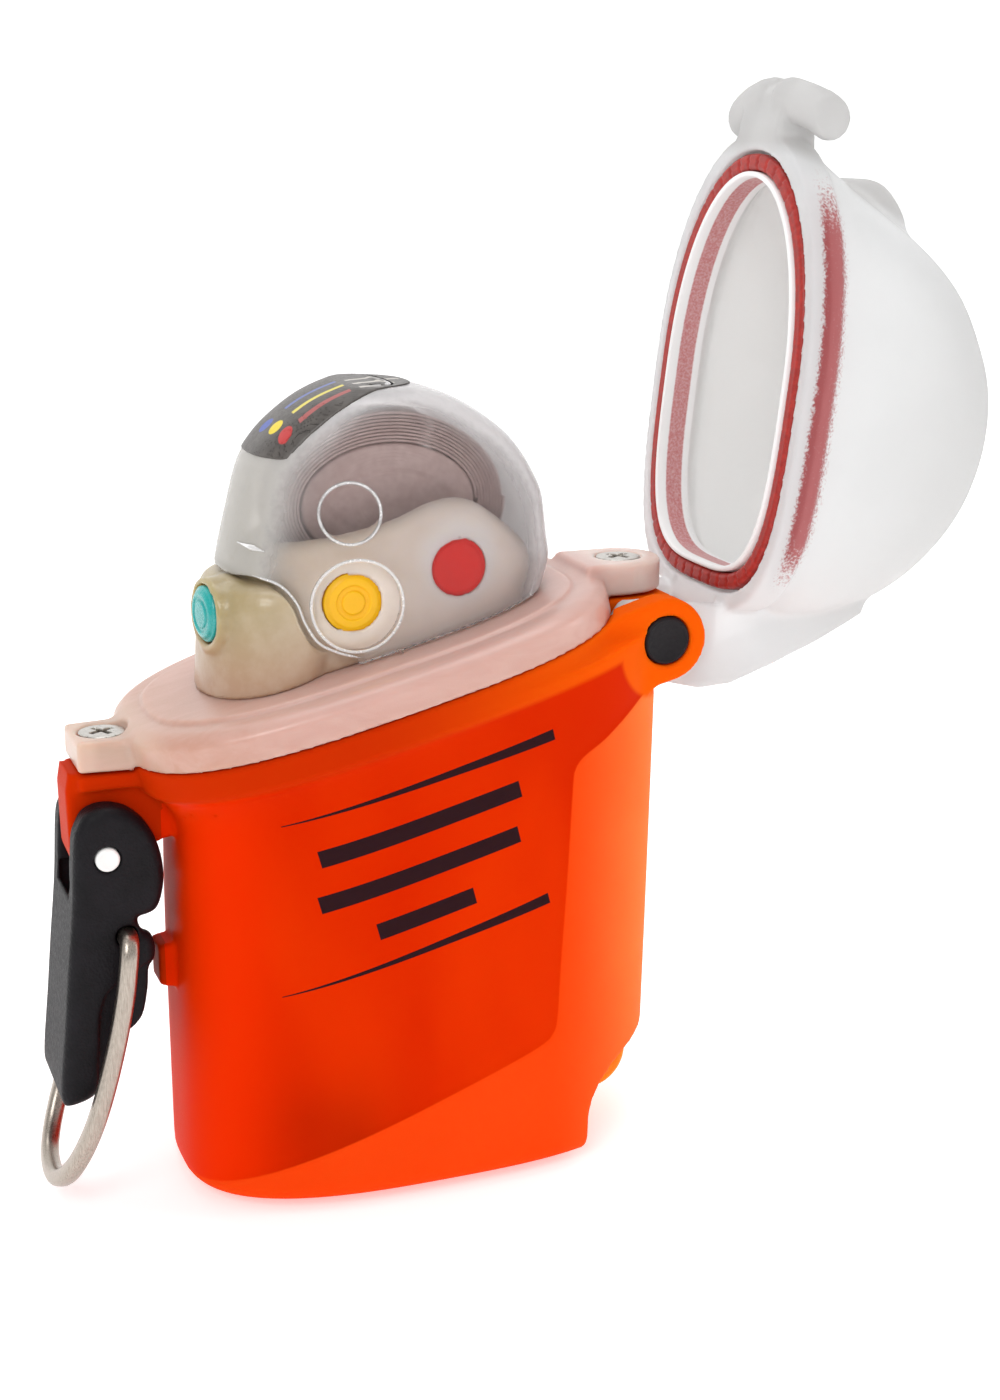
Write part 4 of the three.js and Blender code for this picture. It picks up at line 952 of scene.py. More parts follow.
# ------------------------------------------------------------------ screws
def screw(name, x, z, length):
    g = Grid(x - 2.8, x + 2.8, -2.8, 2.8, z - 3.0, z + 0.5, 0.11)
    r = np.hypot(g.X3 - x, g.Y)
    head = smax(r - np.clip(2.5 + (g.Z3 - (z - 0.25)) * 0.96, 1.25, 2.52), g.Z3 - z - 0.02 + 0.012 * r * r, 0.15)
    F = np.maximum(head, z - 2.6 - g.Z3)
    a = math.radians(28)
    for k in (0, 1):
        c, s = math.cos(a + k * math.pi / 2), math.sin(a + k * math.pi / 2)
        u, v = (g.X3 - x) * c + g.Y * s, -(g.X3 - x) * s + g.Y * c
        slot = np.maximum(np.maximum(np.abs(v) - 0.34, np.abs(u) - 1.5 + (z - g.Z3) * 0.35), z - 1.2 - g.Z3)
        F = smax(F, -slot, 0.08)
    field_piece(name, g, F, "housing", M_SCREW, None)
    o = lathe_piece(name + "_shank", [(0, -2.55), (1.25, -2.55), (1.25, -length), (0.8, -length - 0.5), (0, -length - 0.5)], 32,
                    lambda a, b, h: (x + a, -b, z + h))
    return o


for nm, (sx, sz), ln in (("cover_screw_latch_side", SCREW_L, 7.6), ("cover_screw_hinge_side", SCREW_R, 8.4)):
    shank = screw(nm + "_head", sx, sz, ln)
    piece(shank, "housing", M_SCREW, nm)


# ------------------------------------------------------------------ pins
def pin(name, node, x, z, r, y0, y1, mat, body_name="housing", dish=0.0):
    e = min(0.35, r * 0.2)
    prof = [(0, y0 + dish), (r - e - 0.15, y0 + dish), (r - e, y0), (r - 0.3 * e, y0 + 0.3 * e), (r, y0 + e), (r, y1 - e), (r - 0.3 * e, y1 - 0.3 * e), (r - e, y1), (r - e - 0.15, y1 - dish), (0, y1 - dish)]
    o = lathe_piece(name, prof, 72, lambda a, b, h: (x + a, h, z - b))
    piece(o, body_name, mat, node)
    o.data.flip_normals()
    return o


pin("hinge_pin_front_turned", "hinge_pin_front", HINGE[0], HINGE[1], HINGE_R, -12.15, -5.45, M_PIN, dish=0.12)
pin("hinge_pin_rear_turned", "hinge_pin_rear", HINGE[0], HINGE[1], HINGE_R, 5.45, 12.15, M_PIN, dish=0.12)
pin("latch_pivot_pin_turned", "latch_pivot_pin", LATCH[0], LATCH[1], 1.3, -6.9, 6.9, M_WHITE, dish=0.05)


# ------------------------------------------------------------------ latch lever
LEVER = [(-38.0, 41.3), (-37.5, 43.3), (-36.4, 44.9), (-34.2, 45.4), (-31.8, 44.6), (-29.9, 42.6), (-28.9, 40.0), (-28.6, 37.2),
         (-28.95, 34.9), (-29.6, 33.5), (-30.6, 33.0), (-31.5, 32.8), (-31.6, 32.2), (-31.2, 31.2), (-30.3, 30.6), (-29.9, 29.3), (-30.1, 27.8), (-30.7, 26.8), (-30.9, 24.6),
         (-31.5, 21.8), (-32.4, 20.5), (-33.6, 19.5), (-35.0, 16.9), (-36.4, 14.0), (-37.8, 12.7), (-39.9, 12.2), (-40.7, 12.7),
         (-40.7, 15.0), (-40.0, 21.0), (-39.3, 27.5), (-38.5, 34.5)]


def lever():
    g = Grid(-42.0, -27.6, -7.8, 7.8, 11.4, 46.6, 0.24)
    out = poly(g.X, g.Z, closed(LEVER, 5))
    F = ext(g, out, -6.8, 6.8, 1.25)
    F = smax(F, -ext(g, poly(g.X, g.Z, [(-50, 35.0), (-25, 35.0), (-25, 50), (-50, 50)]), -3.4, 3.4, 0), 0.4)
    F = smax(F, -ext(g, poly(g.X, g.Z, [(-38.0, 37), (-25, 37), (-25, 10), (-36.0, 10), (-37.4, 16.0), (-38.3, 22)]), -4.6, 4.6, 0), 0.4)
    # flat pad recessed in each cheek
    pad = poly(g.X, g.Z, [(-36.3, 22.5), (-35.6, 24.6), (-33.8, 26.3), (-31.0, 27.6), (-26.0, 28.6), (-26.0, 9.0), (-37.2, 9.0), (-36.9, 15.0)])
    for s in (-1, 1):
        F = smax(F, -np.maximum(pad[:, None, :], 6.15 - s * g.Y), 0.35)
    F = smax(F, -rod_y(g, LATCH[0], LATCH[1], 1.44, -8, 8), 0.25)
    for y0, y1 in ((-8, -5.2), (5.2, 8)):
        F = smax(F, -rod_y(g, BAIL[0], BAIL[1], 1.2, y0, y1), 0.25)
    field_piece("latch_lever_moulding", g, F, "lever", M_LEVER, "latch_lever")


lever()


# ------------------------------------------------------------------ bail: a bent wire with slightly flattened sides
def bail():
    def bl(t, y):
        return (BAIL[0] - 3.4 * t - 5.2 * t * t, y, BAIL[1] - 29.2 * t)
    pts = [(BAIL[0], -5.6, BAIL[1]), (BAIL[0], -6.6, BAIL[1]), (BAIL[0], -7.7, BAIL[1] - 0.1), (BAIL[0] - 0.15, -8.4, BAIL[1] - 0.9), (BAIL[0] - 0.35, -8.7, BAIL[1] - 2.3)]
    for t in (0.2, 0.34, 0.48, 0.6):
        pts.append(bl(t, -8.8))
    pts += [bl(0.71, -8.55), bl(0.82, -7.6), bl(0.91, -5.9), bl(0.97, -3.4), bl(0.99, 0)]
    allp = np.array(pts + [(x, -y, z) for x, y, z in reversed(pts[:-1])])
    # resample by arc length on a smooth curve
    P = np.vstack([2 * allp[0] - allp[1], allp, 2 * allp[-1] - allp[-2]])
    dense = []
    for i in range(1, len(P) - 2):
        p0, p1, p2, p3 = P[i - 1], P[i], P[i + 1], P[i + 2]
        for j in range(24):
            t = j / 24
            dense.append(0.5 * (2 * p1 + (p2 - p0) * t + (2 * p0 - 5 * p1 + 4 * p2 - p3) * t * t + (3 * p1 - p0 - 3 * p2 + p3) * t ** 3))
    dense.append(P[-2])
    dense = np.array(dense)
    for _ in range(12):
        dense[1:-1] = (dense[:-2] + 2 * dense[1:-1] + dense[2:]) / 4
    s = np.concatenate([[0], np.cumsum(np.linalg.norm(np.diff(dense, axis=0), axis=1))])
    n, m = 260, 24
    q = np.linspace(0, s[-1], n)
    C = np.stack([np.interp(q, s, dense[:, k]) for k in range(3)], 1)
    T = np.gradient(C, axis=0)
    T /= np.linalg.norm(T, axis=1)[:, None]
    # loop plane normal is nearly X; carry a frame along
    ref = np.array([1.0, 0.0, -0.2])
    verts, faces = [], []
    for i in range(n):
        a = ref - T[i] * (ref @ T[i])
        a /= np.linalg.norm(a)
        b = np.cross(T[i], a)
        e = min(1.0, 0.55 + 0.45 * math.sin(min(1.0, min(i, n - 1 - i) / 2.0) * math.pi / 2))
        for k in range(m):
            t = 2 * math.pi * k / m
            c_, s_ = math.cos(t), math.sin(t)
            r = 0.98 / (abs(c_) ** 3.0 + abs(s_) ** 3.0) ** (1 / 3.0)
            verts.append(C[i] + (a * c_ + b * s_) * r * e)
    for i in range(n - 1):
        for k in range(m):
            j = (k + 1) % m
            faces.append((i * m + k, i * m + j, (i + 1) * m + j, (i + 1) * m + k))
    faces.append(tuple(range(m))[::-1])
    faces.append(tuple((n - 1) * m + k for k in range(m)))
    o = mesh_from("bail_wire", np.array(verts), faces)
    o.data.set_sharp_from_angle(angle=math.radians(60))
    piece(o, "bail", M_BAIL, "latch_bail")


bail()

# ------------------------------------------------------------------ lid
LID = [
    dict(L=sl(1.96 - 26.5, 4.6), R=sl(1.96 + 26.5, 4.6), b=18.4, n1=2.15, n2=3.4),
    dict(L=sl(1.96 - 26.8, 8.0), R=sl(1.96 + 26.5, 8.0), b=18.4, n1=2.15, n2=3.4),
    dict(L=sl(1.96 - 26.6, 8.5), R=sl(1.96 + 26.4, 8.5), b=18.25, n1=2.15, n2=3.35),
    dict(L=sl(1.96 - 26.0, 9.0), R=sl(1.96 + 25.9, 9.0), b=17.6, n1=2.15, n2=3.3),
    ring((-27.7, 63.5), (21.6, 73.5), 17.2, 2.2, 3.0),
    ring((-26.1, 70.0), (21.0, 77.3), 16.6, 2.2, 2.8),
    ring((-24.5, 76.3), (19.4, 81.3), 15.5, 2.2, 2.6),
    ring((-22.2, 81.9), (17.2, 84.9), 14.0, 2.2, 2.5),
    ring((-18.6, 86.6), (14.4, 88.1), 12.0, 2.2, 2.4),
    ring((-14.7, 90.1), (11.0, 90.8), 9.8, 2.3),
    ring((-10.0, 92.8), (7.2, 93.0), 7.0, 2.2),
    ring((-7.4, 93.8), (5.0, 93.95), 5.2, 2.1),
    ring((-5.0, 94.45), (2.9, 94.55), 3.4, 2.1),
    ring((-3.0, 94.78), (1.1, 94.84), 1.8, 2.0),
    ring((-1.6, 94.88), (-0.2, 94.92), 0.6, 2.0),
]


def lid():
    g = Grid(-37.2, 34.4, -19.2, 19.2, 51.4, 96.0, 0.4)
    F = body(g, LID, 0.5, 0.0)
    hp = [(HINGE[0] + 4.6, HINGE[1]), (31.9, 63.5), (31.5, 67.2), (29.9, 70.9), (26.2, 75.4), (22.3, 79.7), (17.6, 84.2), (14, 84), (17, 76), (20.0, 69.0), (21.6, 66.9), (22.6, 61.0)]
    hp += [(HINGE[0] + 4.6 * math.cos(t), HINGE[1] + 4.6 * math.sin(t)) for t in np.linspace(math.pi * 0.9, 2 * math.pi, 24)]
    F = smin(F, plate(g, hp, -8.3, 8.3, 0.5), 0.9)
    neck_half = 4.7
    neck = [(-24, 59.7), (-29.3, 59.4), (-33.2, 57.6), (-33.2, 53.8), (-29.2, 54.2), (-24, 56.6)]
    F = smin(F, plate(g, neck, -neck_half, neck_half, 0.4), 0.8)
    bar = [(-31.5, -9.6, 57.3), (-32.1, -8.0, 56.8), (-32.6, -5.6, 56.2), (-33.05, -2.8, 55.8), (-33.2, 0, 55.7), (-33.05, 2.8, 55.8), (-32.6, 5.6, 56.2), (-32.1, 8.0, 56.8), (-31.5, 9.6, 57.3)]
    T = tube(g, bar, 2.35) + 0.55 * (1 - np.clip((np.abs(g.Y + 0.6) - 1.0) / 0.5, 0, 1))
    T = smax(T, np.abs(g.Y) - 10.3, 0.6)
    F = smin(F, T, 0.45)
    fin = closed([(-22, 75.0), (-25.4, 74.6), (-27.4, 72.6), (-28.6, 70.0), (-28.4, 67.6), (-27.0, 65.4), (-22, 64.5)], 4)
    F = smin(F, plate(g, fin, -3.4, 3.4, 0.5), 1.0)
    # inside of the dome
    inner = [
        dict(L=sl(1.96 - 21.65, 3.0), R=sl(1.96 + 21.65, 3.0), b=14.05, n1=2.07, n2=3.48),
        dict(L=sl(1.96 - 21.65, 8.4), R=sl(1.96 + 21.65, 8.4), b=14.05, n1=2.07, n2=3.48),
        dict(L=sl(1.96 - 22.6, 9.4), R=sl(1.96 + 22.6, 9.4), b=14.9, n1=2.1, n2=3.4),
        dict(L=sl(1.96 - 23.6, 10.4), R=sl(1.96 + 23.6, 10.4), b=15.5, n1=2.1, n2=3.2)]
    inner += grow(LID[5:10], -2.0) + [ring((-9.0, 90.6), (6.2, 90.8), 5.4, 2.2), ring((-6.6, 91.7), (4.2, 91.8), 3.8, 2.1), ring((-4.4, 92.3), (2.2, 92.35), 2.0, 2.0), ring((-2.6, 92.5), (0.6, 92.55), 0.7, 2.0)]
    C, lo, hi = loft(g, inner, 5)
    C = np.maximum(C, hi)
    F = smax(F, -C, 0.5)
    go, lo, hi = loft(g, [slant(24.55, 16.95, 3.0, 1.96, 2.07, 3.48), slant(24.55, 16.95, 8, 1.96, 2.07, 3.48)], 2)
    groove = np.maximum(go, plane(g, 7.9))
    F = smax(F, -groove, 0.15)
    # clearances
    F = smax(F, -rod_y(g, HINGE[0], HINGE[1], 8.8, -5.55, 5.55), 0.3)
    env, lo, hi = loft(g, [slant(RIM_A + 0.35, RIM_B + 0.35, -9), slant(RIM_A + 0.35, RIM_B + 0.35, 6)], 2)
    F = smax(F, -np.maximum(env, plane(g, 4.45)), 0.2)
    blk = np.maximum(np.maximum(np.abs(g.X3 - 25.85) - 5.75, np.abs(g.Y) - 5.3), g.Z3 - 66.9)
    F = smax(F, -blk, 0.3)
    F = smax(F, -rod_y(g, HINGE[0], HINGE[1], HINGE_R + 0.16, -20, 20), 0.3)

    def shades(P):
        out = glow(P)
        inside = np.clip(1.2 - np.abs(sample(C, g, P)) / 1.0, 0, 1)
        x, y, z = P.T
        w = (x - RIM[0]) * -ST + (z - RIM[1]) * CT
        # painted shade: greyer towards the top of the dome, on the hinge plate, the bar and the fin, but not on the
        # inner wall
        dome = np.clip((z - 70.0) / 22.0, 0, 1) * 0.8
        bar = np.clip((-26.4 - x) / 1.5, 0, 1)
        fin_ = np.clip((-25.0 - x) / 1.5, 0, 1) * np.clip((z - 63.0) / 2.0, 0, 1)
        plate_ = np.clip((x - 24.0) / 6.0, 0, 1) * 0.35
        out["grey"] = np.maximum(np.maximum(dome, plate_), np.maximum(bar, fin_)) * (1 - inside)
        out["pale"] = inside
        return out

    field_piece("lid_moulding", g, F, "lid", M_LID, "lid_shell", lid=True, attrs=shades)


lid()


def oval_ring(name, a, b, w0, sec, n, ribs, node, material, gasket_glow_band=None):
    """A ring of constant section (outward, up) on the lid's sealing line."""
    m = len(sec)
    off = 1.96
    P = []
    ang = np.linspace(0, 2 * math.pi, 4000, endpoint=False)
    nn = np.where(np.cos(ang) < 0, 2.07, 3.48)
    u = off + np.sign(np.cos(ang)) * np.abs(np.cos(ang)) ** (2 / nn) * a
    v = np.sign(np.sin(ang)) * np.abs(np.sin(ang)) ** (2 / nn) * b
    L = np.concatenate([[0], np.cumsum(np.hypot(np.diff(np.append(u, u[0])), np.diff(np.append(v, v[0]))))])
    q = np.linspace(0, L[-1], n, endpoint=False)
    U, Vv = np.interp(q, L, np.append(u, u[0])), np.interp(q, L, np.append(v, v[0]))
    for _ in range(6):
        U = (np.roll(U, 1) + 2 * U + np.roll(U, -1)) / 4
        Vv = (np.roll(Vv, 1) + 2 * Vv + np.roll(Vv, -1)) / 4
    tu, tv = np.roll(U, -1) - np.roll(U, 1), np.roll(Vv, -1) - np.roll(Vv, 1)
    l = np.hypot(tu, tv)
    nu, nv = tv / l, -tu / l
    for i in range(n):
        # shallow moulded nicks, mostly round the two ends
        ph = (i * max(ribs, 1) / n) % 1.0
        near = min(1.0, max(0.12, (abs(U[i] - off) - 14.0) / 7.0))
        rib = (0.15 * near * max(0.0, math.cos((ph - 0.5) * 2 * math.pi)) ** 4) if ribs else 0.0
        for o, h in sec:
            f = 1.0 if h < 0.5 else 0.0
            x, z = sl(U[i] + nu[i] * o, w0 + h + rib * f)
            P.append((x, Vv[i] + nv[i] * o, z))
    faces = []
    for i in range(n):
        j = (i + 1) % n
        for k in range(m):
            kk = (k + 1) % m
            faces.append((i * m + k, j * m + k, j * m + kk, i * m + kk))
    tone = {"glow": np.tile([gasket_glow_band(h) for _, h in sec], n)} if gasket_glow_band else None
    o = mesh_from(name, open_lid(np.array(P)), faces, None, tone)
    o.data.set_sharp_from_angle(angle=math.radians(55))
    piece(o, "lid", material, node)


oval_ring("gasket_ring", 23.3, 15.7, 4.56,
          [(-0.92, 3.05), (-0.92, 0.6), (-0.86, 0.3), (-0.66, 0.1), (-0.3, 0.0), (0.0, 0.10), (0.3, 0.0), (0.66, 0.1), (0.86, 0.3), (0.92, 0.6), (0.92, 3.05)], 840, 60, "lid_gasket", M_GASKET)
# thin clear wall that keeps the gasket in its seat; a band of it carries the painted red glow of the gasket seen
# through it
oval_ring("gasket_seat_wall", 21.95, 14.35, 4.35,
          [(-0.30, 4.1), (-0.30, 3.5), (-0.30, 3.2), (-0.30, 2.2), (-0.30, 1.3), (-0.30, 1.0), (-0.30, 0.2), (-0.2, 0.04), (0.0, 0.0), (0.2, 0.04), (0.30, 0.2), (0.30, 4.1)],
          420, 0, None, M_WALL, gasket_glow_band=lambda h: 0.68 if 1.2 < h < 3.3 else 0.0)

# ------------------------------------------------------------------ antenna cap
CAP = [
    ring(sl(-18.2, 4.5), sl(21.1, 4.5), 11.0, 2.9), ring((-21.0, 62.6), (16.5, 68.6), 11.0), ring((-20.1, 68.2), (16.2, 70.9), 10.95),
    ring((-18.5, 75.1), (15.8, 74.8), 10.7, 2.7), ring((-17.1, 79.7), (14.25, 78.3), 10.4, 2.7), ring((-15.2, 82.4), (11.9, 81.5), 10.0, 2.7),
    ring((-12.6, 84.65), (8.7, 84.1), 9.4, 2.7), ring((-9.7, 86.4), (5.2, 86.1), 8.5, 2.7), ring((-6.3, 87.55), (1.1, 87.45), 7.0, 2.6),
    ring((-4.6, 87.8), (-0.9, 87.76), 5.2, 2.5), ring((-3.4, 87.88), (-2.1, 87.86), 3.0, 2.3)]
EDGE = [(-30, 68.3), (-20.4, 68.3), (-18.2, 68.8), (-15.9, 68.0), (-14.4, 66.2), (-13.6, 64.0), (-12.3, 61.9), (-10.2, 60.7), (-7.9, 60.0), (-8.4, 50), (-30, 50)]


def cap_edge():
    e = opened(EDGE[1:9], 6)
    return [EDGE[0]] + e + [(-8.1, 57.0), (-8.4, 50), (-30, 50)]


def bead(name, C, rad, loop):
    """A fine round moulded lip swept along points C."""
    k = 10
    T = (np.roll(C, -1, 0) - np.roll(C, 1, 0)) if loop else np.gradient(C, axis=0)
    T /= np.linalg.norm(T, axis=1)[:, None]
    A = np.cross(T, np.array([0.0, 1.0, 0.0]))
    A /= np.linalg.norm(A, axis=1)[:, None]
    B = np.cross(A, T)
    n = len(C)
    taper = np.ones(n) if loop else np.clip(np.minimum(np.arange(n), np.arange(n)[::-1]) / 4.0, 0.25, 1.0)
    P = [C[i] + rad * taper[i] * (math.cos(a) * A[i] + math.sin(a) * B[i]) for i in range(n) for a in np.linspace(0, 2 * math.pi, k, endpoint=False)]
    F = []
    for i in range(n if loop else n - 1):
        j = (i + 1) % n
        F += [(i * k + q, i * k + (q + 1) % k, j * k + (q + 1) % k, j * k + q) for q in range(k)]
    if not loop:
        F += [tuple(range(k))[::-1], tuple((n - 1) * k + q for q in range(k))]
    piece(mesh_from(name, np.array(P), F), "cap", M_LIP_HIGHLIGHT, None)


def cap():
    g = Grid(-23.2, 18.2, -11.9, 11.9, 58.4, 89.0, 0.28)
    f, lo, hi = loft(g, CAP, 5)
    D = true_distance(smax(f, hi, 0.9), g)
    F = smax(smax(D, lo, 0.3), -(D + 1.3), 0.25)
    F = smax(F, -ext(g, poly(g.X, g.Z, cap_edge()), -40, 40, 0), 0.35)
    front = g.Y + 6.0
    hole = np.maximum((np.hypot(g.X - YEL[0], g.Z - YEL[1]) - 4.75)[:, None, :], front)
    F = smax(F, -hole, 0.4)
    # round pip with a raised lip, and the small rib beside the edge
    r = np.hypot(g.X + 8.4, g.Z - 75.4)[:, None, :]
    disc = np.maximum(np.maximum(r - 3.0, -(D + 0.55)), front)
    F = smax(F, -disc, 0.08)
    lip = np.maximum(np.maximum(np.maximum(np.abs(r - 3.2) - 0.24, D - 0.14), -(D + 0.6)), front)
    F = smin(F, lip, 0.12)
    gate = np.maximum(ext(g, poly(g.X, g.Z, [(-3.5, 58.0), (-3.0, 58.0), (-3.3, 63.0), (-3.7, 63.0)]), -40, -4, 0), D - 0.3)
    F = smin(F, np.maximum(gate, -D - 0.6), 0.1)

    # milky haze on the rounded walls: partly real frosting, partly a painted shoulder highlight
    def haze(P):
        n = gradient(smax(f, hi, 0.9), g, P, 3.0)
        n = np.abs(n[:, 1]) / np.maximum(np.linalg.norm(n, axis=1), 1e-9)
        return {"haze": np.clip((0.975 - n) / 0.34, 0, 1)}

    field_piece("cap_moulding", g, F, "cap", M_CAP, "antenna_cap", attrs=haze)

    def on_skin(pts, depth):
        """Points (x, z) carried onto the front of the cap, depth mm under its skin."""
        pts = np.array(pts, float)
        y0, y1 = np.full(len(pts), -12.0), np.full(len(pts), -3.0)
        for _ in range(24):
            ym = (y0 + y1) / 2
            out = sample(D, g, np.stack([pts[:, 0], ym, pts[:, 1]], 1)) > -depth
            y0, y1 = np.where(out, ym, y0), np.where(out, y1, ym)
        return np.stack([pts[:, 0], (y0 + y1) / 2, pts[:, 1]], 1)

    # milky lips round the key opening, round the pip and along the lower edge, and the side rib: real small mouldings,
    # their white partly a painted highlight
    t = np.linspace(0, 2 * math.pi, 144, endpoint=False)
    bead("key_opening_lip", on_skin(np.stack([YEL[0] + 4.86 * np.cos(t), YEL[1] + 4.86 * np.sin(t)], 1), 0.05), 0.17, True)
    bead("side_pip_lip", on_skin(np.stack([-8.4 + 3.2 * np.cos(t), 75.4 + 3.2 * np.sin(t)], 1), 0.03), 0.17, True)
    e = np.array(opened(EDGE[2:9], 10))
    d = np.gradient(e, axis=0)
    d /= np.hypot(d[:, 0], d[:, 1])[:, None]
    bead("lower_edge_lip", on_skin(e + 0.22 * np.stack([-d[:, 1], d[:, 0]], 1), 0.07), 0.14, False)
    bead("side_rib", on_skin(np.array([(-18.9 + 0.22 * i, 72.1 - 0.06 * i) for i in range(10)]), -0.1), 0.30, False)


cap()


def label():
    g = Grid(-18.0, 9.4, -8.2, 8.2, 80.2, 88.8, 0.15)
    shell = true_distance(body(g, CAP, 0.3, 0.9), g)
    F = np.abs(shell - 0.06) - 0.11
    XX, YY = np.meshgrid(g.x, g.y, indexing="ij")
    ax, ex = np.where(XX < -8.5, (-8.5 - XX) / 8.9, (XX + 8.5) / 9.8), np.where(XX < -8.5, 3.4, 2.1)
    plan = ((ax ** ex + np.abs(YY / 7.5) ** ex) ** (1 / ex) - 1) * 7.5
    F = smax(F, plan[:, :, None].astype(np.float32), 0.1)
    F = smax(F, 80.8 - g.Z3, 0.1)
    field_piece("cap_label_film", g, F, "cap", M_LABEL, "cap_label")


label()


# ------------------------------------------------------------------ keypad boot
def boot():
    g = Grid(-25.2, 16.2, -12.4, 12.4, 54.6, 77.4, 0.3)
    rings = [ring(sl(-16.4, 4.1), sl(19.3, 4.1), 9.4, 2.9), ring((-19.3, 62.6), (14.8, 68.6), 9.4), ring((-18.4, 68.2), (14.5, 70.9), 9.35),
             ring((-16.8, 75.1), (13.4, 74.8), 9.1, 2.7), ring((-16.1, 77.6), (12.5, 76.6), 8.9, 2.7)]
    f, lo, hi = loft(g, rings, 5)
    top = opened([(14.8, 68.4), (12.1, 70.8), (9.2, 73.2), (6.2, 75.3), (3.6, 76.0), (0.6, 75.6), (-3.0, 74.2), (-8, 73.0), (-13, 72.2), (-17, 71.6)], 6)
    T = poly(g.X, g.Z, [(-40, 50), (40, 50), (40, 68)] + top + [(-40, 71.0)])[:, None, :]
    F = smax(smax(f, -plane(g, 4.22), 0.1), T, 1.6)
    bulge = [ring(sl(-18.5, 4.1), sl(-3, 4.1), 10.3, 2.05), ring((-22.5, 60.5), (-6.5, 62.5), 10.2, 2.1), ring((-22.2, 65.0), (-8.0, 66.0), 10.0, 2.2),
             ring((-21.4, 67.0), (-9.0, 67.6), 9.3, 2.3), ring((-20.1, 67.95), (-11.0, 68.0), 8.2, 2.4)]
    b, lo, hi = loft(g, bulge, 5)
    b = smax(smax(b, -plane(g, 4.22), 0.1), hi, 0.9)
    e = [(x - 0.25, z - 0.32) for x, z in opened(EDGE[1:9], 6)]
    lim = poly(g.X, g.Z, [(-40, 67.98), (-20.6, 67.98)] + e[8:] + [(-8.4, 50), (-40, 50)])[:, None, :]
    F = smin(F, smax(b, lim, 0.3), 0.35)
    # foot flare field, worked out but not joined to the boot
    ft, lo, hi = loft(g, [slant(19.0, 10.6, 4.5, 0.6, 2.9, 2.9), slant(18.6, 10.2, 5.3, 0.6, 2.9, 2.9)], 2)
    cav = [ring(sl(-17.6, 2), sl(17.8, 2), 7.9, 2.9), ring((-20.6, 60.0), (13.3, 68.4), 7.9), ring((-20.1, 64.4), (13.1, 70.2), 7.9), ring((-17.0, 68.0), (12.7, 71.7), 7.85), ring((-15.4, 77.2), (11.4, 77.2), 7.5, 2.7)]
    c, lo, hi = loft(g, cav, 5)
    F = smax(F, -np.maximum(c, hi), 0.3)
    front = g.Y + 6.2
    # soft swelling round the red key; the pass for the yellow key leaves the field unchanged
    for (kx, kz), rr in ((RED, 5.0), (YEL, 4.4)):
        d = np.sqrt((g.X3 - kx) ** 2 + (g.Z3 - kz) ** 2 + ((g.Y + 6.9) * 1.9) ** 2) - rr
        F = smin(F, np.maximum(np.maximum(d, 0.05 + (-9.62 - g.Y)), g.Y + 7.5), 0.5) if kx > 0 else F
    for kx, kz in (YEL, RED):
        rk = (np.hypot(g.X - kx, g.Z - kz))[:, None, :]
        F = smax(F, -np.maximum(rk - 3.27, np.maximum(front, (-9.0 if kx < 0 else -8.8) - g.Y)), 0.05)
        F = smax(F, -np.maximum(rk - 2.96, front), 0.15)
    c_, s_ = math.cos(TROT), math.sin(TROT)
    dx, dy, dz = g.X3 - TEAL[0], g.Y - TEAL[1], g.Z3 - TEAL[2]
    ax, lat = dx * c_ + dy * s_, -dx * s_ + dy * c_
    collar = smax(np.hypot(lat, dz) - 3.85, np.maximum(-0.30 - ax, ax - 3.0), 0.7)
    F = smin(F, collar, 1.3)
    seat = np.maximum(np.hypot(lat, dz) - 3.22, np.maximum(-5 - ax, ax - 3.0))
    F = smax(F, -seat, 0.2)
    F = smax(F, -np.maximum(np.hypot(lat, dz) - 1.8, np.maximum(-ax, ax - 6.0)), 0.1)
    field_piece("boot_moulding", g, F, "housing", M_BOOT, "keypad_boot",
                attrs=lambda P: {"under": np.clip(poly(P[:, 0], P[:, 2], cap_edge()) / 1.2, 0, 1)})


boot()


# ------------------------------------------------------------------ keys
def key(name, node, c, y0, stem, mat, body_name, mark):
    g = Grid(c[0] - 3.6, c[0] + 3.6, y0 - 0.5, y0 + 2.4, c[1] - 3.6, c[1] + 3.6, 0.12)
    r = np.hypot(g.X - c[0], g.Z - c[1]).astype(np.float32)
    F = smax((r - 3.2)[:, None, :], np.abs(g.Y - y0 - 0.75) - 0.5, 0.15)
    dome = smax((r - 2.9)[:, None, :], y0 + 0.006 * (r ** 2)[:, None, :] - g.Y, 0.45)
    F = smin(F, np.maximum(dome, g.Y - y0 - 0.7), 0.12)
    F = np.minimum(F, np.maximum((r - 1.4)[:, None, :], np.maximum(y0 + 0.6 - g.Y, g.Y - y0 - stem)))
    if mark:
        m = (np.abs(r - 1.55) - 0.28)[:, None, :]
        F = smax(F, -np.maximum(m, g.Y - y0 - 0.22), 0.14)
    field_piece(name, g, F, body_name, mat, node)


key("test_key", "test_button", YEL, -9.2, 1.9, M_YELLOW, "test_button", True)
key("distress_key", "distress_button", RED, -9.0, 1.65, M_RED, "distress_button", False)


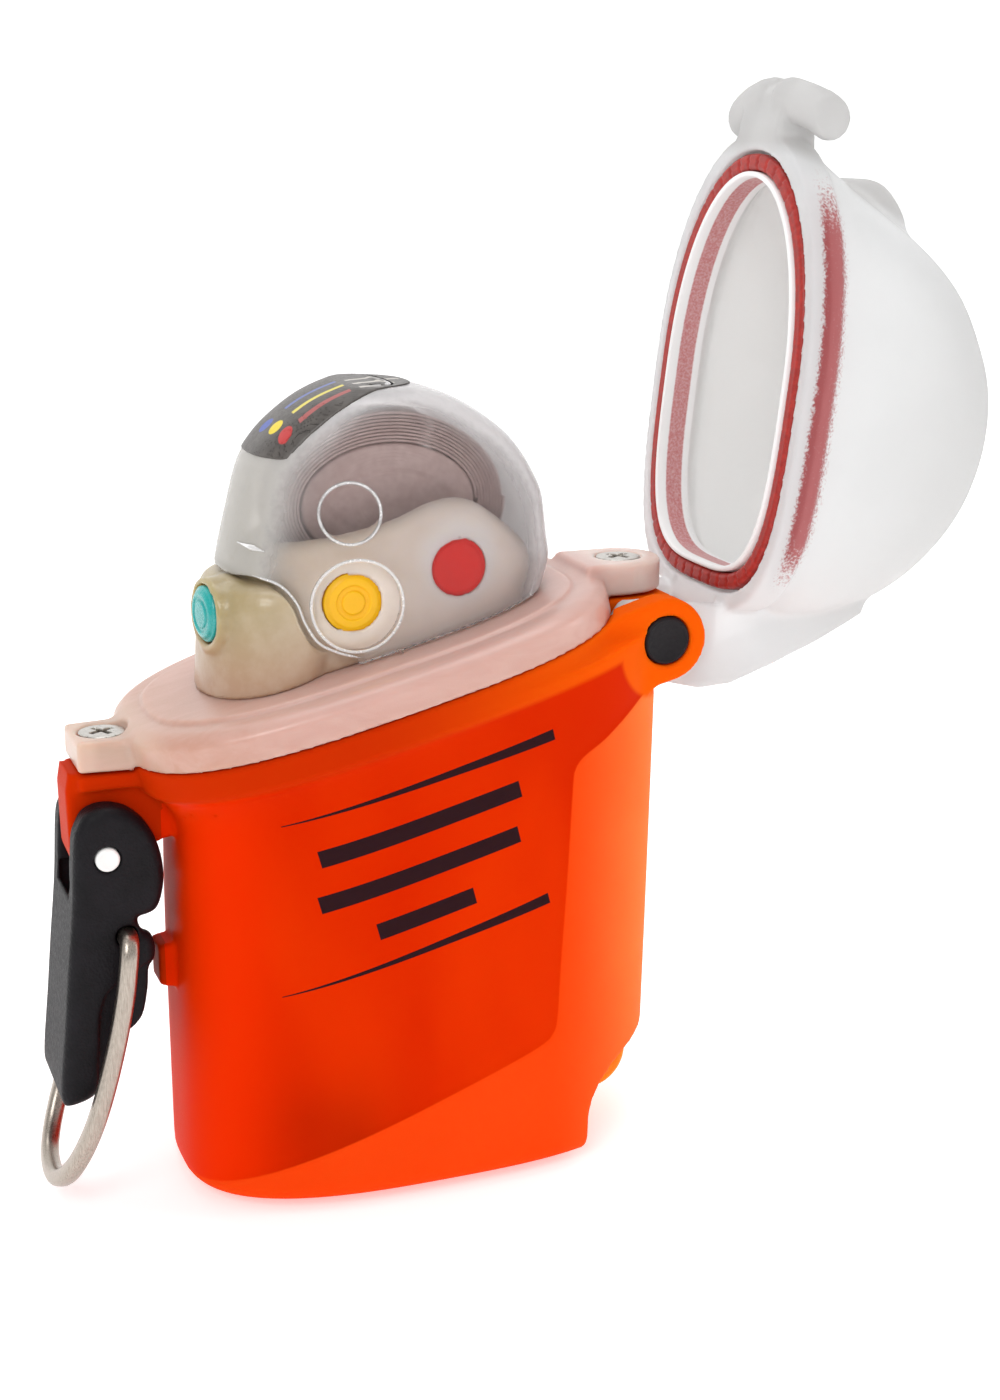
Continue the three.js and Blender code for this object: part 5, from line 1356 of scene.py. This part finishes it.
def teal_key():
    g = Grid(TEAL[0] - 2.4, TEAL[0] + 4.2, TEAL[1] - 4.2, TEAL[1] + 4.4, TEAL[2] - 3.6, TEAL[2] + 3.6, 0.13)
    c_, s_ = math.cos(TROT), math.sin(TROT)
    dx, dy, dz = g.X3 - TEAL[0], g.Y - TEAL[1], g.Z3 - TEAL[2]
    ax, r = dx * c_ + dy * s_, np.hypot(-dx * s_ + dy * c_, dz)
    F = smax(r - 3.0, np.maximum(-0.3 - ax, ax - 1.6), 0.2)
    dome = smax(r - 2.75, -0.75 + 0.012 * r * r - ax, 0.7)
    F = smin(F, np.maximum(dome, ax - 1.0), 0.15)
    F = np.minimum(F, np.maximum(r - 1.3, np.maximum(1.0 - ax, ax - 2.5)))
    ringm = np.maximum(np.abs(r - 1.7) - 0.22, ax + 0.55)
    F = smax(F, -ringm, 0.12)
    field_piece("power_key", g, F, "power_button", M_TEAL, "power_button")


teal_key()


# ------------------------------------------------------------------ wound antenna tape and its hub
def tape():
    """A real spiral: the tape's turns lie on each other with a hair's gap."""
    turns, n = 9, 96
    a0, b0, a1, b1 = 9.75, 6.55, 13.15, 10.05
    th = 0.24
    rows = []
    N = turns * n
    for i in range(N + 1):
        t = i / N
        ang = 2 * math.pi * turns * t
        a, b = a0 + (a1 - th - a0) * t, b0 + (b1 - th - b0) * t
        c, s = math.cos(ang), math.sin(ang)
        rows.append(((-2.0 + a * c, 74.9 + b * s), (-2.0 + (a + th) * c, 74.9 + (b + th) * s)))
    V, Fc = [], []
    for (x0, z0), (x1, z1) in rows:
        e = 0.05
        V += [(x0, -3.35, z0), (x1, -3.35, z1), (x1, 3.35, z1), (x0, 3.35, z0)]
    for i in range(N):
        for k in range(4):
            j = (k + 1) % 4
            Fc.append((i * 4 + k, i * 4 + j, (i + 1) * 4 + j, (i + 1) * 4 + k))
    Fc.append((3, 2, 1, 0))
    Fc.append((N * 4, N * 4 + 1, N * 4 + 2, N * 4 + 3))
    o = mesh_from("antenna_tape", np.array(V), Fc)
    o.data.set_sharp_from_angle(angle=math.radians(40))
    o.data.flip_normals()
    piece(o, "housing", M_TAPE, "antenna_coil")


tape()


def hub():
    g = Grid(-12.4, 8.6, -4.6, 6.0, 61.6, 82.2, 0.25)
    X, Z = (g.X + 2.0), (g.Z - 74.9)

    def oval(a, b):
        r = np.sqrt((X / a) ** 2 + (Z / b) ** 2)
        return ((r - 1) * min(a, b)).astype(np.float32)
    F = ext(g, oval(9.65, 6.45), -3.35, 4.2, 0.2)
    F = smin(F, plate(g, [(-8.6, 62.6), (4.6, 66.0), (4.6, 77.3), (-8.6, 77.3)], 3.7, 5.0, 0.3), 0.5)
    F = smax(F, -np.maximum((np.abs(oval(6.3, 3.3)) - 0.16)[:, None, :], 3.22 + g.Y), 0.3)
    field_piece("antenna_hub_moulding", g, F, "housing", M_TAPE, "antenna_hub")


hub()

# ------------------------------------------------------------------ inner pieces keep their CAD shape, with worked edges and finishes
for node, mat in {
    "cover_seal": M_SEAL, "screw_insert_latch_side": M_BRASS, "screw_insert_hinge_side": M_BRASS, "test_switch": M_SWITCH, "distress_switch": M_SWITCH,
    "keypad_board": M_BOARD, "power_switch": M_SWITCH, "main_circuit_board": M_BOARD, "gps_patch_antenna": M_PATCH, "radio_shield_can": M_CAN,
    "strobe_led": M_LED, "battery_cell_latch_side": M_CELL, "battery_cell_hinge_side": M_CELL, "battery_cradle": M_CRADLE,
    "battery_spring_latch_side": M_SPRING, "battery_spring_hinge_side": M_SPRING, "battery_contact_bar": M_CONTACT,
}.items():
    o = NODES[node]
    o.data.materials.clear()
    o.data.materials.append(mat)
    if "spring" not in node and "cell" not in node:
        bv = o.modifiers.new("edges", "BEVEL")
        bv.width = 0.12 * MM
        bv.segments = 2
        bv.limit_method = "ANGLE"
        bv.angle_limit = math.radians(40)

# ------------------------------------------------------------------ stage, light, camera
sc = bpy.context.scene
sc.view_settings.view_transform = "Standard"
sc.view_settings.look = "None"
sc.view_settings.exposure = 0.0

prof = [(-3.0, 0.0), (1.2, 0.0)] + [(1.2 + 0.8 * math.sin(t), 0.8 - 0.8 * math.cos(t)) for t in np.linspace(0.1, math.pi / 2, 14)] + [(2.0, 3.2)]
vv = [(x, y, z - 0.0012) for y, z in prof for x in (-4.0, 4.0)]
me = bpy.data.meshes.new("backdrop")
me.from_pydata(vv, [], [(2 * i, 2 * i + 1, 2 * i + 3, 2 * i + 2) for i in range(len(prof) - 1)])
me.shade_smooth()
floor = bpy.data.objects.new("backdrop", me)
sc.collection.objects.link(floor)
fm, fnt, fb = new_mat("pale_floor")
ft = NT(fnt)
fn = ft.noise(0.02, 4)
ft.link(ft.mix(ft.ramp(fn, 0.3, 0.7), (0.90, 0.90, 0.90), (0.92, 0.92, 0.92)), fb.inputs["Base Color"])
fb.inputs["Roughness"].default_value = 0.7
fb.inputs["Specular IOR Level"].default_value = 0.2
fb.inputs["Emission Color"].default_value = (1, 1, 1, 1)
fb.inputs["Emission Strength"].default_value = 0.42
floor.data.materials.append(fm)

world = bpy.data.worlds.new("studio")
world.use_nodes = True
bg = world.node_tree.nodes["Background"]
bg.inputs[0].default_value = (1, 1, 1, 1)
bg.inputs[1].default_value = 0.62
sc.world = world


def area(name, loc, target, size, power, color=(1, 1, 1)):
    l = bpy.data.lights.new(name, "AREA")
    l.shape = "RECTANGLE"
    l.size, l.size_y = size
    l.energy = power
    l.color = color
    o = bpy.data.objects.new(name, l)
    sc.collection.objects.link(o)
    o.location = loc
    o.visible_transmission = False
    o.rotation_mode = "QUATERNION"
    o.rotation_quaternion = (Vector(target) - Vector(loc)).to_track_quat("-Z", "Y")
    return o


area("key", (-0.34, -0.52, 0.50), (0, 0, 0.05), (0.30, 0.30), 1.9)
area("top", (0.06, 0.10, 0.70), (0, 0, 0.06), (0.45, 0.30), 1.3)
area("side", (0.62, -0.24, 0.28), (0, 0, 0.06), (0.16, 0.42), 0.8)

cam = bpy.data.cameras.new("camera")
cam.lens = 54.0
cam.sensor_width = 36.0
cam.clip_start, cam.clip_end = 0.01, 20
co = bpy.data.objects.new("camera", cam)
sc.collection.objects.link(co)
az, el, ro = math.radians(20.857), math.radians(15.5076), math.radians(-0.14578)
back = Vector((-math.sin(az) * math.cos(el), -math.cos(az) * math.cos(el), math.sin(el)))
fwd = -back
right = fwd.cross(Vector((0, 0, 1))).normalized()
up = right.cross(fwd)
r2 = right * math.cos(ro) + up * math.sin(ro)
u2 = -right * math.sin(ro) + up * math.cos(ro)
pos = (Vector((11.9342, 0, 50.8094)) + back * 238.9433) * MM
co.matrix_world = Matrix(((r2.x, u2.x, back.x, pos.x), (r2.y, u2.y, back.y, pos.y), (r2.z, u2.z, back.z, pos.z), (0, 0, 0, 1)))
sc.camera = co
